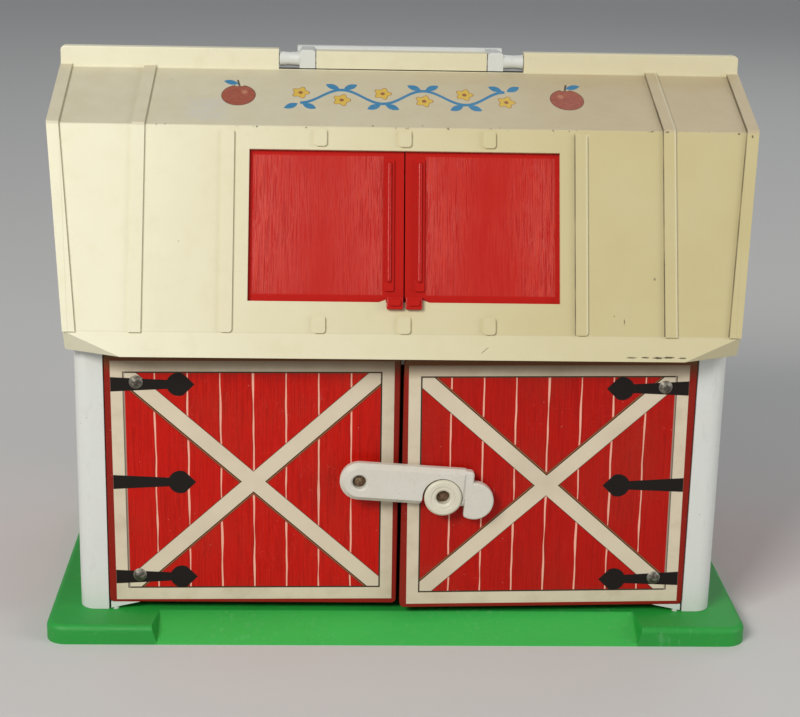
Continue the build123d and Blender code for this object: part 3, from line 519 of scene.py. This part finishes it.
def braced(colour, u, v, inner, half, flip):
    """A crossed brace laid over a panel within an inner rectangle, with its printed outline and shadow line."""
    low_u, high_u, low_v, high_v = inner
    angle = math.atan2(high_v - low_v, high_u - low_u)
    across = (u - (low_u + high_u) / 2) * math.sin(angle)
    up = (v - (low_v + high_v) / 2) * math.cos(angle)
    within = box_distance(u, v, *inner).inside()
    rising = up - across
    falling = across + up
    for shadow, line in BRACE_SHADOWS:
        step = shadow * flip
        for band in (rising, falling):
            colour = colour.under((abs(band + step * 0.5) - half - shadow * 0.5).inside() * within, line)
    outline = ((abs(rising) - half - OUTLINE) & (abs(falling) - half - OUTLINE)).inside()
    colour = colour.under(outline * within, LINE_BROWN)
    cover = ((abs(rising) - half) & (abs(falling) - half)).inside()
    return colour.under(cover * within, FRAME_CREAM)


def strap(u, v, height):
    """A printed strap hinge: it tapers from the door's edge to a round head with a pointed tip."""
    out = u - STRAP_HEAD
    away = abs(v - height)
    start, length = STRAP_TAPER
    half = ((out - start) / length).clamped() * STRAP_WIDENING + STRAP_WAIST
    bar = (away - half) | (STRAP_FROM - out) | (out - (FRAME_OUT[1] - STRAP_HEAD))
    disc = (out * out + away * away) ** 0.5 - STRAP_ROUND
    head = (disc & (out + STRAP_POINT)) | ((away - out - (STRAP_HEAD - STRAP_TIP)) * math.sqrt(0.5))
    return bar & head


def aged(paint, colour, shift):
    """Wear on printed board: pale dust specks, hairline scratches and a soft brown bloom."""
    dust = paint.specks(0.22, 0.05, (shift, 3.0, 1.0), 0.5)
    marks = paint.scratches(shift + 3.0, 0.42)
    bloom = paint.noise(0.03, 3.0, shift=(shift, 0, 0)).above(0.6, 0.3)
    colour = colour.under(bloom * 0.12, BLOOM_BROWN)
    return colour.under(dust * 0.3, DUST_PALE).under(marks * 0.06, SCRATCH_PALE)


def door_print(name, side, ajar):
    """The printed face, edges and back of one door; side is -1 or 1, and ajar the angle it stands open."""
    paint = Paint(name)
    along = Vector((-side * math.cos(ajar), -math.sin(ajar), 0))
    facing = Vector((side * math.sin(ajar), -math.cos(ajar), 0))
    pivot = Vector((side * PIVOT.x, PIVOT.y, 0))
    across = PIVOT.x - PRINT_MIDDLE[0] - paint.place.dot(tuple(along)) + along.dot(pivot)
    out = paint.place.dot(tuple(facing)) - facing.dot(pivot)
    up = paint.z - PRINT_MIDDLE[1]
    u = across + up * (side * math.sin(PRINT_LEAN[side])) + PRINT_MIDDLE[0]
    v = up - across * (side * math.sin(PRINT_RISE[side])) + PRINT_MIDDLE[1] - PRINT_LIFT
    colour = planks(paint, u, v, PLANK_FIRST, PLANK_STEP, DEEPENED[side])
    colour = braced(colour, u, v, FRAME_IN, BRACE_HALF, -side)
    outer = box_distance(u, v, *FRAME_OUT)
    inner = box_distance(u, v, *FRAME_IN)
    colour = colour.under(1 - (inner + FRAME_LINE_WIDTH).inside(0.2), FRAME_LINE)
    for width, share, line in HINGE_LINES:
        beside_hinge = box_distance(u, v, FRAME_IN[1] - width, *FRAME_IN[1:])
        colour = colour.under(beside_hinge.inside() * share, line)
    stain = paint.noise(0.12, 4.0, shift=(side * 9.0, 0, 0)).above(0.58, 0.25) * 0.25
    frame_colour = paint.base(FRAME_CREAM).under(stain, FRAME_STAIN)
    colour = colour.under(1 - inner.inside(), frame_colour)
    colour = colour.under(1 - outer.inside(), EDGE_RED)
    colour = aged(paint, colour, 5.0 * side)
    # Painted shadow under the eave, darkening the top of the leaf.
    eave_shadow = ((paint.z - EAVE_SHADOW_FROM) / EAVE_SHADOW_RISE).clamped()
    colour = colour.under(eave_shadow * EAVE_SHADOW_SHARE, EAVE_SHADOW)
    for height in STRAP_HEIGHTS:
        colour = colour.under(strap(u, v, height).inside(0.2), STRAP_BLACK)
    front = out.above(DOOR_HALF - PRINT_DEPTH, 0.05)
    back = (-out).above(DOOR_HALF - BARE_DEPTH, 0.05)
    fibre, bare = hardboard(paint, (1, 1, 0.35))
    colour = paint.base(EDGE_RED).under(front, colour).under(back, bare)
    varnish = paint.noise(0.25, 3.0)
    roughness = varnish * 0.14 + 0.34 + back * 0.25
    return paint.finish(colour, roughness, varnish * 0.6 + fibre * 0.25 * back, 0.05, specular=0.15)


dress("left_door", door_print("left_door_print", -1, 0.0))
dress("right_door", door_print("right_door_print", 1, RIGHT_AJAR))

# Hinge brackets: a white moulded plate with a pin at the top and bottom of each door. The rivets go through the
# board into them, and the pins turn in the base and the header.
for name in (
    "left_door_lower_bracket", "left_door_upper_bracket", "right_door_lower_bracket", "right_door_upper_bracket"
):
    dress(name, post_white)

# Rivets: two flattened domes of dull grey steel hold the brackets of each door, smudged dark within a paler rim;
# the smudge is partly tarnish and partly a painted dark reflection of the shiny dome.
# The latch and its catch have one rivet each, whose ends have rusted brown.
STEEL = (0.28, 0.26, 0.22)
STEEL_TARNISH_AND_REFLECTION = (0.06, 0.05, 0.04)
RIVET_OUT = 126.2
RIVET_HEIGHTS = (27.8, 126.5)
RIVET_RIM = 2.7

paint = Paint("rivet_steel")
clouds = paint.noise(0.55, 4.0)
fine = paint.noise(6.0, 2.0, (1, 1, 0.2))
height_off = abs(paint.z - sum(RIVET_HEIGHTS) / 2) - (RIVET_HEIGHTS[1] - RIVET_HEIGHTS[0]) / 2
width_off = abs(paint.x) - RIVET_OUT
reach = (height_off * height_off + width_off * width_off) ** 0.5
# Dark inside the rim: partly tarnish, partly painted reflection.
tarnish_and_reflection = clouds.above(0.46, 0.12) * (reach - RIVET_RIM).inside(0.5)
colour = paint.base(STEEL).under(tarnish_and_reflection * 0.8, STEEL_TARNISH_AND_REFLECTION)
rivet_steel = paint.finish(colour, clouds * 0.25 + 0.42, fine * 0.4 + clouds, 0.04, metallic=0.9)
for name in ("left_door_rivets", "right_door_rivets"):
    dress(name, rivet_steel)

RUST = (0.13, 0.07, 0.035)
RUST_PALE = (0.28, 0.2, 0.12)

paint = Paint("rusty_rivet")
clouds = paint.noise(1.1, 4.0)
colour = paint.base(RUST).under(clouds.above(0.55, 0.2), RUST_PALE)
rusty_rivet = paint.finish(colour, clouds * 0.3 + 0.45, clouds, 0.15, metallic=0.5)
for name in ("latch_rivet", "catch_rivet"):
    dress(name, rusty_rivet)

# Latch: a white bar in glossy plastic that turns over a spacer on a rivet in the left door, and drops over a
# round catch on the right one. All three have soft bevels, yellowed patches and small brown spots.
LATCH_WHITE = (0.64, 0.62, 0.55)
CATCH_WHITE = (0.68, 0.65, 0.53)
LATCH_YELLOWED = (0.58, 0.54, 0.44)
CATCH_YELLOWED = (0.60, 0.54, 0.40)
LATCH_DIRT = (0.36, 0.32, 0.24)

paint = Paint("latch_white")
clouds = paint.noise(0.12, 4.0)
spots = paint.specks(0.4, 0.08, (2.0, 8.0, 3.0), 0.6)
marks = paint.scratches(77.0, 0.5)
colour = paint.base(LATCH_WHITE).under(clouds.above(0.52, 0.3) * 0.3, LATCH_YELLOWED)
colour = colour.under(spots * 0.5, LATCH_DIRT).under(marks * 0.3, LATCH_DIRT)
latch_white = paint.finish(colour, clouds * 0.2 + 0.25, clouds * 0.4 + marks * -0.2, 0.06)

paint = Paint("catch_white")
clouds = paint.noise(0.2, 4.0)
spots = paint.specks(0.5, 0.08, (6.0, 1.0, 3.0), 0.6)
colour = paint.base(CATCH_WHITE).under(clouds.above(0.5, 0.3) * 0.4, CATCH_YELLOWED)
colour = colour.under(spots * 0.5, LATCH_DIRT)
catch_white = paint.finish(colour, clouds * 0.2 + 0.3, clouds, 0.05)
for name, finish, radius in (
    ("latch_bar", latch_white, 0.3), ("latch_catch", catch_white, 0.3), ("latch_boss", latch_white, 0.2)
):
    softened(name, finish, radius)

# Walls: hardboard gables and back that stand in the grooves of the posts. They are printed outside with the same
# red planks over a pale footing, each gable with a braced hay door in a pale frame. Inside they are bare.
GABLE_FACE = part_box("left_gable_board")[0].x * -1000
BACK_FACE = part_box("back_board")[1].y * 1000
WALL_BASE = 24.0
HAY_DOOR = (-30.0, 30.0, 168.0, 222.0)
HAY_FRAME = 5.5
HAY_BRACE_HALF = 3.0
FOOTING_LINE = 0.25
WALL_PRINT_DEPTH = 0.2


def wall_print(name, axis, face):
    """Planks on the outer face of a wall, where the given axis reaches its face."""
    paint = Paint(name)
    u, out = (paint.y, abs(paint.x)) if axis == "x" else (paint.x, paint.y)
    v = paint.z
    colour = planks(paint, u, v, PLANK_STEP / 2, PLANK_STEP)
    if axis == "x":
        inner = tuple(edge - step for edge, step in zip(HAY_DOOR, (-HAY_FRAME, HAY_FRAME, -HAY_FRAME, HAY_FRAME)))
        outer_edge = box_distance(u, v, *HAY_DOOR)
        inner_edge = box_distance(u, v, *inner)
        panel = braced(colour, u, v, inner, HAY_BRACE_HALF, -1)
        colour = colour.under((outer_edge - OUTLINE).inside(), LINE_BROWN)
        colour = colour.under(outer_edge.inside(), FRAME_CREAM)
        colour = colour.under((inner_edge - OUTLINE).inside(), LINE_BROWN)
        colour = colour.under(inner_edge.inside(), panel)
    colour = colour.under((v - WALL_BASE).inside(), FRAME_CREAM)
    colour = colour.under((abs(v - WALL_BASE) - FOOTING_LINE).inside(), LINE_BROWN)
    colour = aged(paint, colour, 23.0)
    fibre, bare = hardboard(paint, (1, 1, 0.35))
    outside = out.above(face - WALL_PRINT_DEPTH, 0.05)
    varnish = paint.noise(0.25, 3.0)
    colour = bare.under(outside, colour)
    height = varnish + fibre * 0.3
    return paint.finish(colour, varnish * 0.14 + 0.5 - outside * 0.2, height, 0.05, specular=0.25)


gable_print = wall_print("gable_print", "x", GABLE_FACE)
for name in ("left_gable_board", "right_gable_board"):
    dress(name, gable_print)
dress("back_board", wall_print("back_print", "y", BACK_FACE))

# Roof: two mouldings in cream plastic, hinged at the ridge. Painted shade greys the upper slopes and darkens the
# cream to the right, painted shade and dirt lie beside the raised rims and battens, painted highlights run along
# the battens' outer shoulders on the right, and there are small scuffs on the knee. The front upper slope has a
# worn print: a waving blue vine with leaves and yellow flowers between two red apples.
CREAM = (0.74, 0.71, 0.53)
CREAM_PALE = (0.86, 0.83, 0.64)
CREAM_DEEP = (0.54, 0.46, 0.23)
UPPER_SHADE_GREY = (0.60, 0.555, 0.405)
UPPER_SHADE_TAN = (0.48, 0.37, 0.205)
RUBBED_LILAC = (0.52, 0.53, 0.55)
RUBBED_AT = (-94.0, 17.0)  # across the roof and up its slope from the knee
RUBBED_HALF = (9.0, 11.0)
# Painted shade: the cream darkens towards the right over this width.
RIGHT_SHADE = (230.0, 0.61)  # the width over which the cream deepens to the right, and its share in the middle
DIRT = (0.09, 0.07, 0.045)
SPOT_BROWN = (0.16, 0.11, 0.06)
SCRATCH_TAN = (0.35, 0.27, 0.16)
SHADOW_OLIVE = (0.46, 0.42, 0.24)
SKIN = 0.7  # how deep under the outer faces the marks go
KNEE_OUT = 65.0
KNEE_HEIGHT = 245.0
FLARE_OUT = 102.0
FLARE_HEIGHT = 154.2
RIDGE_OUT = 3.3
STRIP_OUT = 4.5
UPPER_RISE = 18.3
UPPER_TILT = math.atan2(UPPER_RISE, KNEE_OUT - RIDGE_OUT)
LOWER_TILT = math.atan2(FLARE_OUT - KNEE_OUT, KNEE_HEIGHT - FLARE_HEIGHT)
INNER_BATTEN = 83.2
OUTER_BATTEN = 125.3
BATTEN_HALF = 2.95
BATTEN_TOP = 243.0
BATTEN_LINE = 0.16
# The pale shoulder is a painted highlight along each batten's outer edge.
SHOULDER_HIGHLIGHT_OUT = 0.7  # from a batten's outer side to the middle of its pale shoulder
RIM_AT_FLARE = 152.6
RIM_AT_KNEE = 162.4
RIM_AT_RIDGE = 163.9
RIM_STEP = 3.3
RIM_LINE = 0.18
STEP_LINE = 0.1
CREASE_LINE = 0.15
KNEE_RUB = 0.9
FIXED_MARKS = (  # place, half width, half height and lean of a mark, and how dark it is
    ((37.8, 147.8), 0.45, 1.45, -1.3, 0.55),
    ((103.4, 160.5), 0.35, 1.4, 0.1, 0.75),
    ((117.8, 179.4), 0.6, 0.6, 0.0, 0.6),
    ((158.6, 244.3), 0.6, 0.4, 0.0, 0.9),
    ((164.8, 243.4), 0.4, 0.6, 0.0, 0.9),
    ((124.2, 244.8), 0.9, 0.4, 0.0, 0.8),
    ((106.5, 145.3), 2.4, 0.35, 0.0, 0.8),
    ((113.0, 145.4), 2.0, 0.35, 0.0, 0.9),
    ((118.6, 145.3), 2.2, 0.45, 0.0, 1.0),
    ((123.8, 145.5), 2.8, 0.45, 0.0, 1.0),
    ((130.5, 145.3), 2.0, 0.35, 0.0, 0.9),
)
VINE_MIDDLE = 33.0
VINE_STRETCH = 1.5
VINE_PERIOD = 40.0
VINE_WAVE = 5.0
VINE_STEM = 1.0
VINE_END = 50.0
VINE_BLUE = (0.013, 0.19, 0.38)
LEAF_PLACE = (4.4, 7.4)
LEAF_SIZE = (3.8, 1.9)
LEAF_LEAN = 0.5
FLOWER_DROP = -2.6
FLOWER_RADIUS = 3.5
PETALS = 5
PETAL_DEPTH = 0.7
HEART_RADIUS = 1.1
INK_OUTLINE = 0.35
FLOWER_YELLOW = (0.66, 0.44, 0.045)
FLOWER_HEART = (0.30, 0.09, 0.02)
APPLE_RED = (0.28, 0.045, 0.022)
APPLE_MOTTLE = (0.42, 0.11, 0.05)
APPLE_LINE = (0.10, 0.025, 0.012)
APPLE_GLINT = (0.55, 0.24, 0.14)
APPLE_AT = 80.0
APPLE_RADIUS = 8.0
APPLE_SQUASH = 1.15
APPLE_DIMPLE = 2.4
GLINT_AT = (-2.8, 2.4)
GLINT_RADIUS = 1.4
STALK_FOOT = 7.0
STALK_TOP = 11.5
STALK_HALF = 0.5
STALK_LEAN = 0.25
APPLE_LEAF_AT = (4.2, 9.6)
APPLE_LEAF_SIZE = (3.74, 1.8)
APPLE_LEAF_RISE = 0.25


def roof_paint(name, side, printed):
    """The roof's cream plastic; side is -1 for the front half and 1 for the back."""
    paint = Paint(name)
    out = paint.y * side
    width = abs(paint.x)
    clouds = paint.noise(0.018, 4.0, roughness=0.6)
    blotch = paint.noise(0.09, 4.0, shift=(7.0, 0, 0), roughness=0.6)
    # Painted shade darkening the cream towards the right, mixed with random deeper tone.
    right = (paint.x / RIGHT_SHADE[0] + RIGHT_SHADE[1]).clamped()
    strip = (out - STRIP_OUT).inside(0.6)
    right_half = paint.x.above(0.0)
    eave = (paint.z - FLARE_HEIGHT).inside(1.0)
    tone_and_shade = (clouds.above(0.5, 0.5) * 0.15 + right * 0.85) * (1 - strip * 0.5 - eave * 0.3)
    colour = paint.base(CREAM).under(strip * 0.6, CREAM_PALE).under(tone_and_shade, CREAM_DEEP)
    colour = colour.under(blotch.above(0.6, 0.2) * 0.12, CREAM_DEEP)
    under_upper = (paint.z - KNEE_HEIGHT + (out - KNEE_OUT) * math.tan(UPPER_TILT)) * -math.cos(UPPER_TILT)
    under_lower = (out - FLARE_OUT + (paint.z - FLARE_HEIGHT) * math.tan(LOWER_TILT)) * -math.cos(LOWER_TILT)
    skin = ((under_upper & under_lower) - SKIN).inside(0.3)
    upper = paint.z.above(KNEE_HEIGHT - 0.3, 0.6) * out.above(STRIP_OUT, 0.6) * skin
    # Painted shade: the upper slopes are greyed, and darker tan towards the right and in random blotches.
    colour = colour.under(upper * 0.85, UPPER_SHADE_GREY)
    colour = colour.under(upper * (right * right * 0.6 + blotch.above(0.5, 0.3) * 0.15), UPPER_SHADE_TAN)
    gloss = paint.noise(0.06, 3.0)
    if printed:
        slope = (KNEE_OUT - out) / math.cos(UPPER_TILT)
        rubbed = (abs(paint.x - RUBBED_AT[0]) - RUBBED_HALF[0]) | (abs(slope - RUBBED_AT[1]) - RUBBED_HALF[1])
        worn = paint.noise(0.3, 5.0, (1, 2, 1), shift=(2, 2, 2), roughness=0.7).above(0.5, 0.12)
        colour = colour.under(upper * rubbed.inside(6.0) * worn * 0.6, RUBBED_LILAC)
        colour = ornament(paint, colour, upper, paint.x, slope)
    risen = ((paint.z - FLARE_HEIGHT) / (KNEE_HEIGHT - FLARE_HEIGHT)).clamped()
    on_slopes = paint.z.above(FLARE_HEIGHT, 0.4) * out.above(RIDGE_OUT + 1.0, 0.5) * skin
    on_lower = paint.z.above(FLARE_HEIGHT, 0.4) * (1 - paint.z.above(KNEE_HEIGHT, 0.4)) * skin
    streak = paint.noise(0.12, 3.0, (1, 0.4, 0.4), shift=(11, 0, 0)).above(0.4, 0.3)
    battens = (
        (INNER_BATTEN, on_lower * (1 - paint.z.above(BATTEN_TOP, 0.4))),
        (OUTER_BATTEN, on_slopes),
    )
    # Painted shade with dirt in the creases beside the battens and rims: olive shade on the left half, dark dirt and
    # shade on the right.
    dirt_and_shade = paint.base(SHADOW_OLIVE).under(right_half, DIRT)
    for middle, where in battens:
        inwards = (middle - width).above(0.0)
        beside = abs(abs(width - middle) - BATTEN_HALF) - BATTEN_LINE
        amount = 0.05 + right_half * (inwards * 0.95 - 0.05)
        # Painted highlight along the outer shoulder of the battens on the right half.
        shoulder_highlight = (abs(width - middle - BATTEN_HALF) - SHOULDER_HIGHLIGHT_OUT).inside(0.8) * where * right_half
        colour = colour.under(shoulder_highlight * 0.3, CREAM_PALE)
        colour = colour.under(beside.inside(0.25) * where * amount * (streak * 0.7 + 0.3), dirt_and_shade)
    ridge_part = ((paint.z - KNEE_HEIGHT) / UPPER_RISE).clamped()
    rim = width - RIM_AT_FLARE - risen * (RIM_AT_KNEE - RIM_AT_FLARE) - ridge_part * (RIM_AT_RIDGE - RIM_AT_KNEE)
    rim_line = (abs(rim) - RIM_LINE).inside(0.25) * on_slopes
    colour = colour.under(rim_line * (streak * 0.4 + 0.4) * (right_half * 0.6 + 0.4), dirt_and_shade)
    # Painted shade along the step of the lower rims and in the crease at the flare.
    second = (abs(rim - (1 - risen) * RIM_STEP) - STEP_LINE).inside(0.25) * on_lower
    crease = (abs(paint.z - FLARE_HEIGHT) - CREASE_LINE).inside(0.4) * (width - RIM_AT_FLARE).inside()
    colour = colour.under(second * 0.6, SHADOW_OLIVE).under(crease * 0.35, SHADOW_OLIVE)
    knee_rub = (abs(paint.z - KNEE_HEIGHT) - KNEE_RUB).inside(0.5) * out.above(KNEE_OUT - 2.5, 1.0)
    scuffed = paint.noise(0.35, 4.0, (1, 0.5, 1), shift=(2, 0, 9)).above(0.67, 0.05)
    colour = colour.under(knee_rub * scuffed * 0.8, DIRT)
    if printed:
        for (x, z), half_width, half_height, lean, dark in FIXED_MARKS:
            up = paint.z - z
            wide = (paint.x - x + up * lean) / half_width
            tall = up / half_height
            rough = paint.noise(1.2, 3.0, shift=(x, 0, z)) * 1.4 - 1.6
            mark = (wide * wide + tall * tall) ** 0.5 + rough
            colour = colour.under(mark.inside(0.5) * skin * dark, DIRT)
    spots = paint.specks(0.11, 0.04, (9.0, 1.0, 4.0), 0.6)
    colour = colour.under(spots * 0.6, SPOT_BROWN)
    marks = paint.scratches(19.0, 0.34)
    colour = colour.under(marks * 0.12, SCRATCH_TAN)
    roughness = gloss * 0.16 + 0.32 + upper * 0.12
    return paint.finish(colour, roughness, clouds * 1.2 + gloss + marks * -0.2, 0.1)


def ornament(paint, colour, on_slope, u, v):
    """The printed vine and apples; u is across the roof and v up its slope from the knee."""
    ink = on_slope * paint.noise(0.8, 5.0, shift=(3, 3, 3), roughness=0.7).above(0.33, 0.06)
    up = (v - VINE_MIDDLE) / VINE_STRETCH
    turn = u * (2 * math.pi / VINE_PERIOD)
    stem = (abs(up - turn.math("SINE") * VINE_WAVE) - VINE_STEM) | (abs(u) - VINE_END)
    colour = colour.under(stem.inside(0.3) * ink, VINE_BLUE)
    half = VINE_PERIOD / 2
    number = (u / half).math("FLOOR")
    across = u - number * half - half / 2
    side = 1 - (number / 2).math("FRACT") * 4
    crest_up = up * side
    off = abs(across) - LEAF_PLACE[0]
    rise = crest_up - LEAF_PLACE[1]
    along = off * math.cos(LEAF_LEAN) + rise * math.sin(LEAF_LEAN)
    over = rise * math.cos(LEAF_LEAN) - off * math.sin(LEAF_LEAN)
    leaf = abs(over) - (1 - along * along / LEAF_SIZE[0] ** 2) * LEAF_SIZE[1]
    motifs = (abs(u) - VINE_END - half / 2).inside() * ink
    colour = colour.under(leaf.inside(0.25) * motifs, VINE_BLUE)
    drop = crest_up - FLOWER_DROP
    reach = (across * across + drop * drop) ** 0.5
    wave = drop.math("ARCTAN2", across).math("MULTIPLY", PETALS).math("COSINE") * PETAL_DEPTH
    petals = reach - wave - FLOWER_RADIUS
    colour = colour.under((petals - INK_OUTLINE).inside(0.25) * motifs, FLOWER_HEART)
    colour = colour.under(petals.inside(0.25) * motifs, FLOWER_YELLOW)
    colour = colour.under((reach - HEART_RADIUS).inside(0.3) * motifs, FLOWER_HEART)
    apple_u = abs(u) - APPLE_AT
    round_part = (apple_u * apple_u + up * up * APPLE_SQUASH) ** 0.5
    apple = round_part - APPLE_RADIUS + (APPLE_DIMPLE - abs(apple_u)).clamped() * up.above(0.0)
    mottle = paint.noise(0.5, 3.0, shift=(8, 1, 1)).above(0.5, 0.3)
    peel = paint.base(APPLE_RED).under(mottle * 0.5, APPLE_MOTTLE)
    colour = colour.under((apple - INK_OUTLINE).inside(0.3) * ink, APPLE_LINE)
    colour = colour.under(apple.inside(0.3) * ink, peel)
    glint_u = apple_u - GLINT_AT[0]
    glint_up = up - GLINT_AT[1]
    glint = (glint_u * glint_u + glint_up * glint_up) ** 0.5 - GLINT_RADIUS
    colour = colour.under(glint.inside(0.8) * ink * 0.6, APPLE_GLINT)
    stalk = abs(apple_u - (up - STALK_FOOT) * STALK_LEAN) - STALK_HALF
    stalk = stalk | (STALK_FOOT - up) | (up - STALK_TOP)
    colour = colour.under(stalk.inside(0.3) * ink, LINE_BROWN)
    tip = apple_u - APPLE_LEAF_AT[0]
    half = (1 - tip * tip / APPLE_LEAF_SIZE[0] ** 2) * APPLE_LEAF_SIZE[1]
    blade = abs(up - APPLE_LEAF_AT[1] - tip * APPLE_LEAF_RISE) - half
    return colour.under(blade.inside(0.3) * ink, VINE_BLUE)


front_cream = roof_paint("front_cream", -1, True)
back_cream = roof_paint("back_cream", 1, False)
softened("front_roof", front_cream, 0.8)
softened("back_roof", back_cream, 0.8)
for name in ("lower_loft_track", "upper_loft_track"):
    dress(name, back_cream)

# Loft doors: a pair of glossy red mouldings that slide in the tracks behind the roof. Each has a raised wood grain
# inside a plain border, strongest at its sides, with painted highlights on its crests and painted shade beside
# them, a finger rib, and a lug that laps over the sill.
LOFT_RED = (0.45, 0.012, 0.008)
LOFT_GRAIN_SHADE = (0.27, 0.006, 0.004)
LOFT_SHEEN_AND_SCRATCH = (0.66, 0.085, 0.055)
GRAIN_FIELD = (9.8, 71.5, 18.2, 85.0)  # inner and outer end, foot and top, up the slope from the flare
GRAIN_DEPTH = 0.05
GRAIN_FINENESS = (16.0, 18.0)  # how thin the crests of the broad and the fine grain are
GRAIN_CALM = 38.0
GRAIN_SPREAD = 30.0

paint = Paint("loft_red")
slope = (0, math.sin(LOWER_TILT), math.cos(LOWER_TILT))
up = paint.place.plus((0, FLARE_OUT, -FLARE_HEIGHT)).dot(slope)
width = abs(paint.x)
field = (box_distance(width, up, *GRAIN_FIELD) + 0.4).inside(0.8)
grain = wood_grain(paint, paint.x * 0.8, 0.0, up * 0.03, 2.0, distortion=0.5)
fine = wood_grain(paint, paint.x * 1.9, 5.0, up * 0.05, 2.0, distortion=0.3)
patches = paint.noise(0.05, 2.0, (1, 0.5, 0.5), shift=(5, 5, 5)).above(0.5, 0.3)
strong = (abs(width - GRAIN_CALM) / GRAIN_SPREAD).clamped() * 0.7 + patches * 0.3
broad_crests = (1 - abs(grain - 0.5) * GRAIN_FINENESS[0]).clamped()
fine_crests = (1 - abs(fine - 0.5) * GRAIN_FINENESS[1]).clamped()
crests = (broad_crests | fine_crests * 0.7) * strong * field
marks = paint.scratches(61.0, 0.3)
# Painted highlights on the grain's crests and painted shade beside them; the same pale colour marks the scratches.
colour = paint.base(LOFT_RED).under(field * 0.05, LOFT_SHEEN_AND_SCRATCH)
colour = colour.under(grain.above(0.55, 0.15) * strong * field * 0.35, LOFT_GRAIN_SHADE)
colour = colour.under(crests * 0.65, LOFT_SHEEN_AND_SCRATCH).under(marks * 0.15, LOFT_SHEEN_AND_SCRATCH)
loft_red = paint.finish(colour, 0.18 + field * 0.17, crests, GRAIN_DEPTH, specular=0.16)
for name in ("left_loft_door", "right_loft_door"):
    softened(name, loft_red, 0.25)

# Handle: one white moulding of a grip between two arms, whose stubs are the hinge pins of the roof. It lies
# folded back on the rear slope.
softened("handle", post_white, 0.5)
